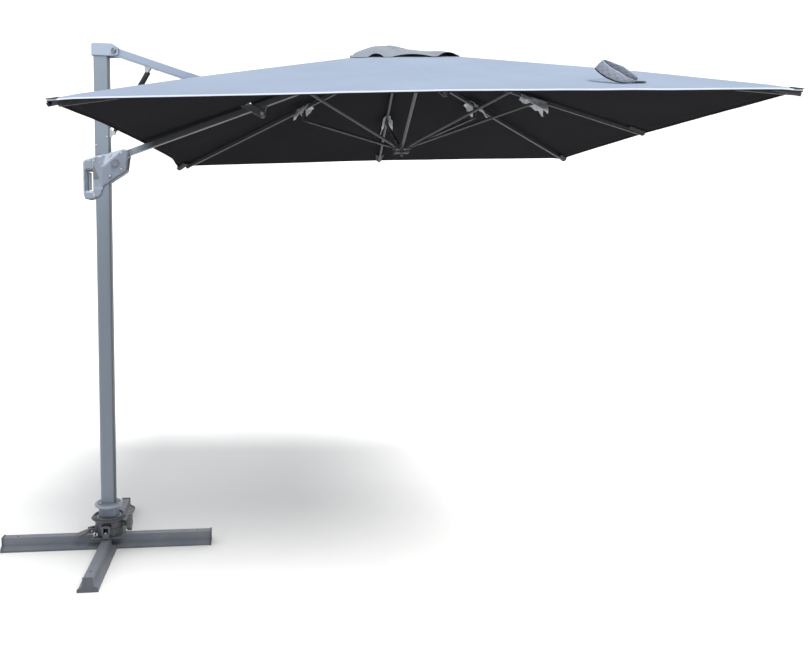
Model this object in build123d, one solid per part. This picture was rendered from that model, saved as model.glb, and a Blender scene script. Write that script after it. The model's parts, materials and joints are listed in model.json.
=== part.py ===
"""Cantilever parasol with a sliding lift handle, a square canopy and a cross base.

Millimetres, +Z up. The origin is on the floor under the mast's axis, and +X points from the mast to the
canopy. The canopy's ribs are laid out in a local frame at the crown, with z = 0 at the rib pins.
"""
import os
from math import asin, atan2, cos, degrees, hypot, radians, sin

from build123d import *

os.makedirs("parts", exist_ok=True)

# ---- clearances ----
PIN_GAP = 0.05
SIDE_GAP = 0.5
SLIDE_GAP = 0.5
OPEN_PIVOT_GAP = 0.4

# ---- mast ----
MAST_X = 70.0
MAST_Y = 48.0
MAST_R = 12.0
MAST_WALL = 2.5
MAST_FOOT_Z = 100.0
MAST_TOP_Z = 2420.0
BACK = -MAST_X / 2
FRONT = MAST_X / 2

# ---- linkage of the two arms: both pivots lie in front of the mast's front face ----
PIVOT_X = FRONT + 28.8
HEAD_PIVOT_Z = 2430.0
ARM_PIVOT_LENGTH = 735.0
REST_ANGLE = 20.7
FOLD_ANGLE = 56.0
ARM_PIN_R = 6.0
ELBOW_PIN_R = 5.0

# ---- upper arm ----
UPPER_WIDTH = 40.0
UPPER_DEPTH = 36.0
UPPER_WALL = 2.5
UPPER_TUBE_ANGLE = 16.2
UPPER_TUBE_LENGTH = 420.0
PLATE_THICKNESS = 5.0
PLATE_DEPTH = 44.0
PLATE_LAP = 60.0

# ---- lower arm ----
LOWER_WIDTH = 38.0
LOWER_DEPTH = 28.0
LOWER_WALL = 2.5
LOWER_TUBE_ANGLE = 21.7
LOWER_PIVOT_DROP = 30.0
LOWER_TUBE_START = 92.0
LOWER_TUBE_END = 1310.0
FITTING_WIDTH = 24.0
ELBOW_EAR_WIDTH = 28.0
CROWN_TONGUE_WIDTH = 16.0

# ---- crown, ribs and struts, in the crown's local frame ----
CROWN_X = 1410.0
CROWN_Z = 2445.0
CANOPY_TILT = 3.2
PIN_RADIUS = 40.0
RIB_PIN_R = 3.0
RIB_FOLD = 64.0
STRUT_LENGTH = 660.0
RIB_WIDTH = 12.0
RIB_DEPTH = 20.0
RIB_WALL = 1.5
TONGUE_WIDTH = 10.0
EAR_THICKNESS = 4.0
EAR_REACH = 11.0
MID_SLOPE = 0.32
MID_ROOT_RISE = 20.0
MID_TIP_R = 1222.0
JOINT_DROP = 20.0
CORNER_TIP_R = 1742.0
CORNER_TIP_DROP = 374.0
STRUT_R = 7.0
STRUT_TONGUE = 8.0
STRUT_WALL = 1.2
CROWN_DISC_R = 33.0
CROWN_DISC_T = 26.0
HUB_DISC_R = 30.0
HUB_DISC_T = 24.0
HUB_BAR_LENGTH = 96.0
HUB_BAR_R = 6.0

# ---- canopy ----
CANOPY_HALF = 1250.0
CANOPY_APEX = 48.0
CANOPY_SLOPE = 0.32
CANOPY_THICKNESS = 2.5
VENT_HALF = 240.0
VENT_CAP_HALF = 278.0
VENT_CAP_RISE = 58.0
VENT_CAP_EDGE = -22.0
ARM_SLOT_HALF = 34.0
ARM_SLOT_IN = 480.0
ARM_SLOT_OUT = 1010.0
STRAP_WIDTH = 60.0
STRAP_RISE = 60.0
STRAP_THICKNESS = 3.0

# ---- base ----
BASE_YAW = 4.0
RAIL_REACH = 500.0
RAIL_WIDTH = 88.0
RAIL_RIDGE = 40.0
RAIL_HEIGHT = 66.0
RAIL_WALL = 3.0
RAIL_SLOPE_Z = 26.0
CAP_THICKNESS = 8.0
CAP_PROUD = 2.0
FOOT_LENGTH = 60.0
FOOT_HEIGHT = 8.0
SEAT_PLATE = 150.0
SEAT_PLATE_T = 6.0
HOUSING_R = 66.0
HOUSING_TOP_Z = 150.0
HOUSING_FLANGE_R = 79.0
HOUSING_FLANGE_T = 12.0
BORE_R = 52.0
BUSH_WALL = 4.0
SLEEVE_X = 92.0
SLEEVE_Y = 70.0
SLEEVE_TOP_Z = 208.0
RING_R = 59.0
RING_TUBE_R = 9.0
RING_Z = 222.0
LUG_HEIGHT = 28.0
KNOB_R = 40.0
KNOB_Z = 118.0
KNOB_SCREW_R = 6.0
PEDAL_AZIMUTH = 208.0
PEDAL_PIVOT_R = 92.0
PEDAL_PIVOT_Z = 104.0
PEDAL_LENGTH = 52.0
PEDAL_WIDTH = 44.0

# ---- sliding handle, heights from its pivot ----
BUSH_HEIGHT = 20.0
BUSH_WALL_X = 1.5
BUSH_WALL_Y = 2.5
CARRIAGE_WALL_X = 2.5
CARRIAGE_WALL_Y = 4.0
CARRIAGE_LOW = -72.0
CARRIAGE_HIGH = 12.0
CARRIAGE_BACK = BACK - SLIDE_GAP - BUSH_WALL_X - CARRIAGE_WALL_X
CARRIAGE_FRONT = FRONT + 10.0
CARRIAGE_HALF = MAST_Y / 2 + SLIDE_GAP + BUSH_WALL_Y + CARRIAGE_WALL_Y
CASING_ROOM = 4.5
CASING_WALL = 3.5
CASING_HALF = CARRIAGE_HALF + CASING_ROOM + CASING_WALL
CASING_OUTLINE = [
    (BACK - 50, 4), (BACK - 40, 15), (BACK + 18, 33), (FRONT + 11, 55), (FRONT + 66, 72),
    (FRONT + 84, 50), (FRONT + 74, -32), (FRONT + 10, -80), (FRONT - 32, -114), (FRONT - 42, -146),
    (BACK + 22, -160), (BACK - 18, -175), (BACK - 42, -170), (BACK - 50, -150),
]
GRIP_HALF = 18.0
GRIP_BACK = BACK - 31
GRIP_FRONT = BACK - 5
GRIP_TOP = -40.0
GRIP_BOTTOM = -131.0
GRIP_OPENING = [(GRIP_BACK, GRIP_TOP), (GRIP_FRONT, GRIP_TOP), (GRIP_FRONT, GRIP_BOTTOM),
                (GRIP_BACK, GRIP_BOTTOM)]
TAIL_HALF = 30.0
TAIL_TOP = -134.0
TRIGGER_THICKNESS = 9.0
TRIGGER_HEIGHT = 84.0
TRIGGER_TRAVEL = 6.0
TRIGGER_WIDTH = 24.0
POCKET_DEPTH = 8.0
BOLT_HEAD_R = 15.0
SCREW_R = 3.5
SCREW_SPOTS = [(BACK + 2, 11), (FRONT + 8, 39), (FRONT + 58, 50), (FRONT + 57, -24), (FRONT + 4, -58),
               (BACK - 2, -150)]

# ---- gas spring ----
GAS_TOP = (208.0, 2350.0)
GAS_BOTTOM = (FRONT + 16.0, 2056.0)
GAS_CYLINDER_R = 9.0
GAS_ROD_R = 4.0
GAS_EYE_R = 7.0
GAS_PIN_R = 3.0
GAS_CYLINDER_LENGTH = 190.0

# ---- derived points ----
ELBOW_X = PIVOT_X + ARM_PIVOT_LENGTH * cos(radians(REST_ANGLE))
ELBOW_Z = HEAD_PIVOT_Z - ARM_PIVOT_LENGTH * sin(radians(REST_ANGLE))
SLIDER_Z = HEAD_PIVOT_Z - 2 * ARM_PIVOT_LENGTH * sin(radians(REST_ANGLE))
CROWN_PIN_X = CROWN_X - PIN_RADIUS * cos(radians(CANOPY_TILT))
CROWN_PIN_Z = CROWN_Z - PIN_RADIUS * sin(radians(CANOPY_TILT))
TILT = Location((CROWN_X, 0, CROWN_Z), (0, -CANOPY_TILT, 0))
MID_ANGLE = degrees(atan2(MID_SLOPE, 1))
PIVOT_ANGLE = MID_ANGLE + degrees(
    asin((JOINT_DROP - MID_ROOT_RISE * cos(radians(MID_ANGLE))) / STRUT_LENGTH))
CORNER_ANGLE = degrees(atan2(CORNER_TIP_DROP, CORNER_TIP_R - PIN_RADIUS))
HUB_DROP = 2 * STRUT_LENGTH * sin(radians(PIVOT_ANGLE))
RIBS = {"right": 0, "far_right": 45, "far": 90, "far_left": 135,
        "near_left": 225, "near": 270, "near_right": 315}


def slab(points, y0, y1):
    """A flat plate: an outline in X and Z, from y0 to y1."""
    face = make_face(Polyline(*points, close=True))
    return Pos(0, y1, 0) * extrude(Plane.XZ * face, amount=y1 - y0)


def rod_y(x, z, radius, y0, y1):
    """A round bar along Y."""
    return Pos(x, (y0 + y1) / 2, z) * Rot(90, 0, 0) * Cylinder(radius, y1 - y0)


def ear(x0, z0, r0, x1, z1, r1, y0, y1):
    """A plate with a round end about each of two centres."""
    ends = [Plane.XZ * Pos(x0, z0) * Circle(r0), Plane.XZ * Pos(x1, z1) * Circle(r1)]
    distance = hypot(x1 - x0, z1 - z0)
    lean = atan2(z1 - z0, x1 - x0)
    turn = asin((r0 - r1) / distance)
    corners = []
    for side in (1, -1):
        angle = lean + side * (radians(90) - turn)
        corners.append((x0 + r0 * cos(angle), z0 + r0 * sin(angle)))
        corners.append((x1 + r1 * cos(angle), z1 + r1 * sin(angle)))
    web = Plane.XZ * make_face(Polyline(corners[0], corners[1], corners[3], corners[2], close=True))
    face = ends[0] + web + ends[1]
    return Pos(0, y1, 0) * extrude(face, amount=y1 - y0)


def box_tube(length, width, depth, wall, corner):
    """A hollow rectangular tube along X, from x = 0, centred on Y and Z."""
    outer = Box(length, width, depth)
    outer = fillet(outer.edges().filter_by(Axis.X), corner)
    inner = Box(length, width - 2 * wall, depth - 2 * wall)
    return Pos(length / 2, 0, 0) * (outer - inner)


def save(name, shape):
    export_step(shape, f"parts/{name}.step")


# ================= base =================
YAW = Rot(0, 0, BASE_YAW)


def rail_section(outside):
    half = RAIL_WIDTH / 2 - outside
    ridge = RAIL_RIDGE / 2 - outside
    foot = 12 - outside
    top = RAIL_HEIGHT - outside
    return make_face(Polyline((-half, 0), (-half, foot), (-ridge, RAIL_SLOPE_Z - outside), (-ridge, top),
                              (ridge, top), (ridge, RAIL_SLOPE_Z - outside), (half, foot), (half, 0),
                              close=True))


def rail(x0, x1):
    """A folded sheet rail, open below, along X."""
    skin = rail_section(0) - rail_section(RAIL_WALL)
    return Pos(x0, 0, 0) * extrude(Plane.YZ * skin, amount=x1 - x0)


ARM_END = RAIL_REACH
rail_long = rail(-ARM_END, ARM_END)
rail_half = rail(RAIL_WIDTH / 2, ARM_END)
save("base_rail_long", YAW * rail_long)
save("base_rail_halves", Compound([YAW * Rot(0, 0, turn) * rail_half for turn in (-90, 90)]))

cap_face = rail_section(-CAP_PROUD)
cap_plate = Pos(ARM_END, 0, 0) * extrude(Plane.YZ * cap_face, amount=CAP_THICKNESS)
caps = [YAW * Rot(0, 0, turn) * cap_plate for turn in (0, 90, 180, 270)]
foot_pad = Pos(0, 0, FOOT_HEIGHT / 2) * Box(FOOT_LENGTH, RAIL_WIDTH - 2 * RAIL_WALL, FOOT_HEIGHT)
save("base_caps_and_foot", Compound(caps + [YAW * foot_pad]))

seat = Pos(0, 0, RAIL_HEIGHT + SEAT_PLATE_T / 2) * Box(SEAT_PLATE, SEAT_PLATE, SEAT_PLATE_T)
bolt_spots = [(55, 0), (-55, 0), (0, 62), (0, -62)]
for spot in bolt_spots:
    seat -= Pos(spot[0], spot[1], RAIL_HEIGHT) * Cylinder(4.5, 40)
save("base_seat_plate", YAW * seat)

housing_floor = RAIL_HEIGHT + SEAT_PLATE_T
housing_height = HOUSING_TOP_Z - housing_floor
housing = Pos(0, 0, housing_floor + housing_height / 2) * Cylinder(HOUSING_R, housing_height)
housing += Pos(0, 0, HOUSING_TOP_Z + HOUSING_FLANGE_T / 2) * Cylinder(HOUSING_FLANGE_R, HOUSING_FLANGE_T)
for y in (-78, 78):
    housing += Pos(0, y, housing_floor + LUG_HEIGHT / 2) * Box(30, 34, LUG_HEIGHT)
boss = Pos(68, 0, KNOB_Z) * Rot(0, 90, 0) * Cylinder(14, 24)
housing += boss
pedal_turn = Rot(0, 0, PEDAL_AZIMUTH)
pedal_ears = Pos(78, 0, PEDAL_PIVOT_Z) * Box(44, 36, 22)
pedal_ears -= Pos(PEDAL_PIVOT_R + 6, 0, PEDAL_PIVOT_Z) * Box(50, 25, 60)
housing += pedal_turn * pedal_ears
bore_depth = HOUSING_TOP_Z + HOUSING_FLANGE_T - housing_floor - 10
housing -= Pos(0, 0, housing_floor + 10 + bore_depth / 2) * Cylinder(BORE_R + BUSH_WALL, bore_depth)
housing -= Pos(68, 0, KNOB_Z) * Rot(0, 90, 0) * Cylinder(KNOB_SCREW_R + PIN_GAP, 60)
housing -= pedal_turn * rod_y(PEDAL_PIVOT_R, PEDAL_PIVOT_Z, 4, -30, 30)
save("swivel_housing", YAW * housing)

bush = Pos(0, 0, housing_floor + 10 + bore_depth / 2) * Cylinder(BORE_R + BUSH_WALL, bore_depth)
bush -= Pos(0, 0, housing_floor + 14 + bore_depth / 2) * Cylinder(BORE_R, bore_depth)
bush -= Pos(55, 0, KNOB_Z) * Rot(0, 90, 0) * Cylinder(KNOB_SCREW_R + PIN_GAP, 20)
save("swivel_bush", YAW * bush)

seat_bolts = []
for x, y in [(0, 86), (0, -86)]:
    head = Pos(x, y, housing_floor + LUG_HEIGHT) * extrude(RegularPolygon(9, 6), amount=6)
    seat_bolts.append(YAW * head)
for x, y in bolt_spots:
    shank = Pos(x, y, RAIL_HEIGHT + SEAT_PLATE_T / 2) * Cylinder(4.5, SEAT_PLATE_T)
    seat_bolts.append(YAW * shank)
save("base_bolts", Compound(seat_bolts))

ring_bolt = Pos(HOUSING_R + 8, 0, 0) * Rot(0, 90, 0) * Cylinder(4, 16)
ring_bolt += Pos(HOUSING_R + 25, 0, 0) * Rot(90, 0, 0) * Torus(11, 2.5)
save("ring_bolt", YAW * Rot(0, 0, 236) * Pos(0, 0, 92) * ring_bolt)

knob_screw = Pos((BORE_R + 2 + 100) / 2, 0, KNOB_Z) * Rot(0, 90, 0) * Cylinder(KNOB_SCREW_R, 98 - BORE_R)
lobes = Cylinder(KNOB_R - 8, 20)
for turn in range(5):
    lobes += Rot(0, 0, 72 * turn) * Pos(KNOB_R - 11, 0, 0) * Cylinder(11, 20)
lobes += Pos(0, 0, -13) * Cylinder(13, 8)
knob = Pos(100, 0, KNOB_Z) * Rot(0, 90, 0) * lobes
save("star_knob", YAW * (knob + knob_screw))

pedal = ear(PEDAL_PIVOT_R, PEDAL_PIVOT_Z, 9, PEDAL_PIVOT_R + 22, PEDAL_PIVOT_Z - 6, 6, -11, 11)
tread = Pos(PEDAL_PIVOT_R + 38, 0, PEDAL_PIVOT_Z - 10) * Rot(0, 14, 0) * Box(PEDAL_LENGTH, PEDAL_WIDTH, 9)
tread = fillet(tread.edges(), 3)
pedal += tread
pedal -= rod_y(PEDAL_PIVOT_R, PEDAL_PIVOT_Z, 4 + PIN_GAP, -30, 30)
save("foot_pedal", YAW * pedal_turn * pedal)
save("pedal_pin", YAW * pedal_turn * rod_y(PEDAL_PIVOT_R, PEDAL_PIVOT_Z, 4, -18, 18))

# ================= turning mast =================
spindle_low = housing_floor + 14 + 0.3
spindle_high = HOUSING_TOP_Z + HOUSING_FLANGE_T + 4
spindle = Pos(0, 0, (spindle_low + spindle_high) / 2) * Cylinder(BORE_R - PIN_GAP, spindle_high - spindle_low)
mast_outer = Box(MAST_X, MAST_Y, MAST_TOP_Z - MAST_FOOT_Z)
mast_outer = fillet(mast_outer.edges().filter_by(Axis.Z), MAST_R)
mast_middle = Pos(0, 0, (MAST_TOP_Z + MAST_FOOT_Z) / 2)
mast_solid = mast_middle * mast_outer
spindle -= mast_solid
save("swivel_spindle", spindle)

mast_inner = Box(MAST_X - 2 * MAST_WALL, MAST_Y - 2 * MAST_WALL, MAST_TOP_Z - MAST_FOOT_Z)
mast_inner = fillet(mast_inner.edges().filter_by(Axis.Z), MAST_R - MAST_WALL)
save("mast_tube", mast_solid - mast_middle * mast_inner)

sleeve_height = SLEEVE_TOP_Z - spindle_high
sleeve = Box(SLEEVE_X, SLEEVE_Y, sleeve_height)
sleeve = fillet(sleeve.edges().filter_by(Axis.Z), MAST_R + 8)
sleeve = Pos(0, 0, spindle_high + sleeve_height / 2) * sleeve
save("mast_sleeve", sleeve - mast_solid)

ring = Pos(0, 0, RING_Z) * Torus(RING_R, RING_TUBE_R)
for turn in (0, 180):
    ring += Rot(0, 0, turn) * Pos(RING_R / 2 + 14, 0, RING_Z) * Box(RING_R - 28, 22, 12)
ring += Pos(0, 0, RING_Z) * Box(MAST_X + 12, MAST_Y + 12, 18)
save("turn_ring", ring - mast_solid)

cap_low = HEAD_PIVOT_Z - 24
cap_high = HEAD_PIVOT_Z + 33
cap_outline = [
    (BACK - 6, cap_low), (BACK - 6, cap_high - 10), (BACK + 2, cap_high), (FRONT + 18, cap_high),
    (PIVOT_X + 20, cap_high - 18), (PIVOT_X + 20, HEAD_PIVOT_Z - 14), (PIVOT_X + 6, HEAD_PIVOT_Z - 22),
    (FRONT + 4, cap_low),
]
head_half = MAST_Y / 2 + 5
head = slab(cap_outline, -head_half, head_half)
head = fillet(head.edges().filter_by(Axis.X) + head.edges().filter_by(Axis.Z), 3)
head -= Pos(0, 0, MAST_TOP_Z - 100) * Box(MAST_X, MAST_Y, 200)
slot_half = UPPER_WIDTH / 2 + SIDE_GAP
slot_x = FRONT + 4
head -= slab([(slot_x, cap_low - 5), (slot_x, HEAD_PIVOT_Z + 20), (slot_x + 100, HEAD_PIVOT_Z + 20),
              (slot_x + 100, cap_low - 5)], -slot_half, slot_half)
head -= rod_y(PIVOT_X, HEAD_PIVOT_Z, ARM_PIN_R, -80, 80)
save("head_casting", head)

pivot_bolt = rod_y(PIVOT_X, HEAD_PIVOT_Z, ARM_PIN_R, -head_half, head_half)
for side in (-1, 1):
    face_y = side * head_half
    pivot_bolt += rod_y(PIVOT_X, HEAD_PIVOT_Z, 12, min(face_y, face_y + side * 6), max(face_y, face_y + side * 6))
save("head_pivot_bolt", pivot_bolt)

gas_x, gas_z = GAS_BOTTOM
bracket = Pos(MAST_X / 2 + 2, 0, gas_z) * Box(4, 30, 40)
for side in (-1, 1):
    plate = slab([(FRONT + 4, gas_z - 12), (FRONT + 4, gas_z + 12), (gas_x + 7, gas_z + 7),
                  (gas_x + 7, gas_z - 7)], 6 if side > 0 else -10, 10 if side > 0 else -6)
    bracket += plate
bracket += rod_y(gas_x, gas_z, GAS_PIN_R, -12, 12)
save("gas_bracket_lower", bracket)

mast_bolts = []
for x, z in [(FRONT - 10, SLIDER_Z + 125), (BACK + 10, SLIDER_Z + 85)]:
    mast_bolts.append(rod_y(x, z, 4, -MAST_Y / 2 - 4, -MAST_Y / 2))
save("mast_bolts", Compound(mast_bolts))

# ================= upper arm =================
root_r = UPPER_DEPTH / 2
arm_lean = Rot(0, UPPER_TUBE_ANGLE, 0)
at_head = Pos(PIVOT_X, 0, HEAD_PIVOT_Z)
upper_tube = Pos(root_r + 4, 0, 0) * box_tube(UPPER_TUBE_LENGTH - root_r - 4, UPPER_WIDTH, UPPER_DEPTH,
                                              UPPER_WALL, 4)
arm_root = ear(0, 0, root_r, root_r + 4, 0, root_r - 0.01, -UPPER_WIDTH / 2, UPPER_WIDTH / 2)
arm_root -= Pos(root_r + 4 + 50, 0, 0) * Box(100, UPPER_WIDTH + 2, UPPER_DEPTH + 2)
arm_root -= rod_y(0, 0, ARM_PIN_R + PIN_GAP, -40, 40)
save("upper_arm_tube", at_head * arm_lean * (upper_tube + arm_root))

tube_end_x = PIVOT_X + UPPER_TUBE_LENGTH * cos(radians(UPPER_TUBE_ANGLE))
tube_end_z = HEAD_PIVOT_Z - UPPER_TUBE_LENGTH * sin(radians(UPPER_TUBE_ANGLE))
lap_x = tube_end_x - PLATE_LAP * cos(radians(UPPER_TUBE_ANGLE))
lap_z = tube_end_z + PLATE_LAP * sin(radians(UPPER_TUBE_ANGLE))
plates = []
for side in (-1, 1):
    inner = side * UPPER_WIDTH / 2
    outer = side * (UPPER_WIDTH / 2 + PLATE_THICKNESS)
    y_low, y_high = min(inner, outer), max(inner, outer)
    plate = ear(lap_x, lap_z, 17, tube_end_x, tube_end_z, 17.01, y_low, y_high)
    plate += ear(tube_end_x, tube_end_z, 17, ELBOW_X, ELBOW_Z, 15, y_low, y_high)
    plate -= rod_y(ELBOW_X, ELBOW_Z, ELBOW_PIN_R, -60, 60)
    plates.append(plate)
save("upper_arm_plates", Compound(plates))

elbow_half = UPPER_WIDTH / 2 + PLATE_THICKNESS
elbow_pin = rod_y(ELBOW_X, ELBOW_Z, ELBOW_PIN_R, -elbow_half, elbow_half)
elbow_pin += rod_y(ELBOW_X, ELBOW_Z, 9, -elbow_half - 5, -elbow_half)
elbow_pin += rod_y(ELBOW_X, ELBOW_Z, 9, elbow_half, elbow_half + 5)
save("elbow_pin", elbow_pin)

gas_top_x, gas_top_z = GAS_TOP
along = (gas_top_x - PIVOT_X) * cos(radians(UPPER_TUBE_ANGLE)) - (gas_top_z - HEAD_PIVOT_Z) * sin(
    radians(UPPER_TUBE_ANGLE))
below = UPPER_DEPTH / 2
drop = (gas_top_x - PIVOT_X) * sin(radians(UPPER_TUBE_ANGLE)) + (gas_top_z - HEAD_PIVOT_Z) * cos(
    radians(UPPER_TUBE_ANGLE))
mount = Pos(along + 8, 0, -below - 1.5) * Box(60, 30, 3)
for y_low in (-14, 11):
    mount += slab([(along - 14, -below - 3), (along + 14, -below - 3), (along + 7, drop - 8),
                   (along - 7, drop - 8)], y_low, y_low + 3)
save("gas_bracket_upper", at_head * arm_lean * mount)

# ================= lower arm, in a frame at the slider's pivot with X along the tube =================
at_slider = Pos(PIVOT_X, 0, SLIDER_Z)
LOWER_LEAN = Rot(0, -LOWER_TUBE_ANGLE, 0)
lower_place = at_slider * LOWER_LEAN
tube_line = LOWER_PIVOT_DROP
lower_tube = Pos(LOWER_TUBE_START, 0, tube_line) * box_tube(
    LOWER_TUBE_END - LOWER_TUBE_START, LOWER_WIDTH, LOWER_DEPTH, LOWER_WALL, 4)
save("lower_arm_tube", lower_place * lower_tube)

half_depth = LOWER_DEPTH / 2
fitting_half = FITTING_WIDTH / 2
fitting = ear(0, 0, 15, LOWER_TUBE_START - 16, tube_line, 13, -fitting_half, fitting_half)
fitting += Pos(LOWER_TUBE_START - 9, 0, tube_line) * Box(18, LOWER_WIDTH - 2, LOWER_DEPTH - 1)
fitting -= rod_y(0, 0, ARM_PIN_R + PIN_GAP, -40, 40)
save("slider_fitting", lower_place * fitting)

elbow_along = (ELBOW_X - PIVOT_X) * cos(radians(LOWER_TUBE_ANGLE)) + (ELBOW_Z - SLIDER_Z) * sin(
    radians(LOWER_TUBE_ANGLE))
elbow_up = -(ELBOW_X - PIVOT_X) * sin(radians(LOWER_TUBE_ANGLE)) + (ELBOW_Z - SLIDER_Z) * cos(
    radians(LOWER_TUBE_ANGLE))
tube_under = tube_line - half_depth
ear_half = ELBOW_EAR_WIDTH / 2
elbow_bracket = slab([(elbow_along - 34, tube_under), (elbow_along + 34, tube_under),
                      (elbow_along + 11, elbow_up - 4), (elbow_along - 11, elbow_up - 4)],
                     -ear_half, ear_half)
elbow_bracket += rod_y(elbow_along, elbow_up, 12, -ear_half, ear_half)
elbow_bracket -= Pos(elbow_along, 0, tube_under + 20) * Box(200, 80, 40)
elbow_bracket -= rod_y(elbow_along, elbow_up, ELBOW_PIN_R + PIN_GAP, -60, 60)
save("elbow_bracket", lower_place * elbow_bracket)

spacers = []
for side in (-1, 1):
    inner = side * ear_half
    outer = side * (UPPER_WIDTH / 2 - SIDE_GAP)
    spacer = rod_y(elbow_along, elbow_up, 10, min(inner, outer), max(inner, outer))
    spacers.append(lower_place * (spacer - rod_y(elbow_along, elbow_up, ELBOW_PIN_R + PIN_GAP, -60, 60)))
save("elbow_spacers", Compound(spacers))

crown_along = (CROWN_PIN_X - PIVOT_X) * cos(radians(LOWER_TUBE_ANGLE)) + (CROWN_PIN_Z - SLIDER_Z) * sin(
    radians(LOWER_TUBE_ANGLE))
crown_up = -(CROWN_PIN_X - PIVOT_X) * sin(radians(LOWER_TUBE_ANGLE)) + (CROWN_PIN_Z - SLIDER_Z) * cos(
    radians(LOWER_TUBE_ANGLE))
tongue_half = CROWN_TONGUE_WIDTH / 2
tongue = ear(LOWER_TUBE_END + 10, tube_line, 10, crown_along, crown_up, 9, -tongue_half, tongue_half)
tongue -= Pos(LOWER_TUBE_END - 50, 0, tube_line) * Box(100, 60, 60)
tongue += Pos(LOWER_TUBE_END + 5, 0, tube_line) * Box(10, LOWER_WIDTH - 4, LOWER_DEPTH - 3)
tongue -= rod_y(crown_along, crown_up, RIB_PIN_R + 1 + PIN_GAP, -40, 40)
save("crown_fitting", lower_place * tongue)

# ================= sliding handle =================
shell_full = slab(CASING_OUTLINE, -CASING_HALF, CASING_HALF)
zone_x = BACK - 7
grip_zone = slab([(zone_x - 60, 40), (zone_x, 40), (zone_x, -190), (zone_x - 60, -190)], -100, 100)
grip_bar = grip_zone & slab(CASING_OUTLINE, -GRIP_HALF, GRIP_HALF)
low_tail = slab([(BACK - 20, TAIL_TOP), (FRONT - 20, TAIL_TOP), (FRONT - 20, -190), (BACK - 20, -190)],
                -100, 100)
body = shell_full - grip_zone - low_tail
body += grip_bar + (low_tail & slab(CASING_OUTLINE, -TAIL_HALF, TAIL_HALF))
body -= slab(GRIP_OPENING, -100, 100)
trigger_z = (GRIP_TOP + GRIP_BOTTOM) / 2
body -= Pos(GRIP_BACK - POCKET_DEPTH / 2 + 1, 0, trigger_z) * Box(
    POCKET_DEPTH + 2, TRIGGER_WIDTH + 1, TRIGGER_HEIGHT + 1)
cavity_outline = [(BACK - 5, -2), (BACK - 5, 18), (FRONT + 6, 48), (FRONT + 60, 64), (FRONT + 78, 46),
                  (FRONT + 69, -30), (FRONT + 8, -74), (FRONT - 10, -88), (BACK - 5, -88)]
cavity_half = CASING_HALF - CASING_WALL
body -= slab(cavity_outline, -cavity_half, cavity_half)
pass_x = MAST_X + 2 * SLIDE_GAP
pass_y = MAST_Y + 2 * SLIDE_GAP
body -= Box(pass_x, pass_y, 600)
arm_half = UPPER_WIDTH / 2 + 2
arm_gate = [(FRONT + 4, -22), (FRONT + 4, 200), (FRONT + 220, 200), (FRONT + 220, 24), (FRONT + 78, 24),
            (FRONT + 48, -22)]
body -= slab(arm_gate, -arm_half, arm_half)
body -= rod_y(PIVOT_X, 0, ARM_PIN_R, -100, 100)
screw_bodies = []
for x, z in SCREW_SPOTS:
    depth = TAIL_HALF if z < TAIL_TOP else CASING_HALF
    screw_bodies.append(rod_y(x, z, SCREW_R, -depth - 1.5, -depth + 3.5))
at_slide = Pos(0, 0, SLIDER_Z)
near_block = Pos(0, -100, 0) * Box(800, 200, 800)
far_block = Pos(0, 100, 0) * Box(800, 200, 800)
near_shell = body & near_block
for screw in screw_bodies:
    near_shell -= screw
save("slider_shell_near", at_slide * near_shell)
save("slider_shell_far", at_slide * (body & far_block))
save("slider_screws", Compound([at_slide * screw for screw in screw_bodies]))

carriage_height = CARRIAGE_HIGH - CARRIAGE_LOW
carriage_size = CARRIAGE_FRONT - CARRIAGE_BACK
carriage = Box(carriage_size, 2 * CARRIAGE_HALF, carriage_height)
carriage = Pos((CARRIAGE_FRONT + CARRIAGE_BACK) / 2, 0, (CARRIAGE_LOW + CARRIAGE_HIGH) / 2) * carriage
ear_inner = fitting_half + SIDE_GAP
for side in (-1, 1):
    y_low = ear_inner if side > 0 else -ear_inner - 6
    plate = ear(FRONT - 2, 0, 18, PIVOT_X, 0, 16, y_low, y_low + 6)
    carriage += plate
collar_x = pass_x + 2 * BUSH_WALL_X
collar_y = pass_y + 2 * BUSH_WALL_Y
carriage -= Box(collar_x, collar_y, 600)
carriage -= slab([(FRONT + 1, -60), (FRONT + 1, 90), (FRONT + 110, 90), (FRONT + 110, -60)],
                 -ear_inner, ear_inner)
carriage -= rod_y(PIVOT_X, 0, ARM_PIN_R, -100, 100)
save("slider_carriage", at_slide * carriage)

bushes = []
for z in (CARRIAGE_LOW + BUSH_HEIGHT / 2, CARRIAGE_HIGH - BUSH_HEIGHT / 2):
    collar = Box(collar_x, collar_y, BUSH_HEIGHT) - Box(pass_x, pass_y, 2 * BUSH_HEIGHT)
    bushes.append(at_slide * Pos(0, 0, z) * collar)
save("slider_bushes", Compound(bushes))

slide_bolt = rod_y(PIVOT_X, 0, ARM_PIN_R, -CASING_HALF, CASING_HALF)
for side in (-1, 1):
    y_low = CASING_HALF if side > 0 else -CASING_HALF - 5
    slide_bolt += rod_y(PIVOT_X, 0, BOLT_HEAD_R, y_low, y_low + 5)
save("slider_pivot_bolt", at_slide * slide_bolt)

trigger_x = GRIP_BACK - 0.5
trigger = Pos(trigger_x + TRIGGER_THICKNESS / 2, 0, trigger_z) * Box(
    TRIGGER_THICKNESS, TRIGGER_WIDTH, TRIGGER_HEIGHT)
trigger = fillet(trigger.edges(), 3)
save("release_trigger", at_slide * trigger)
pocket_x = GRIP_BACK - POCKET_DEPTH
spring = slab([(pocket_x, trigger_z - 30), (pocket_x + 1, trigger_z - 30), (pocket_x + 1.4, trigger_z),
               (pocket_x + 1, trigger_z + 30), (pocket_x, trigger_z + 30)], -6, 6)
save("trigger_spring", at_slide * spring)

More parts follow.
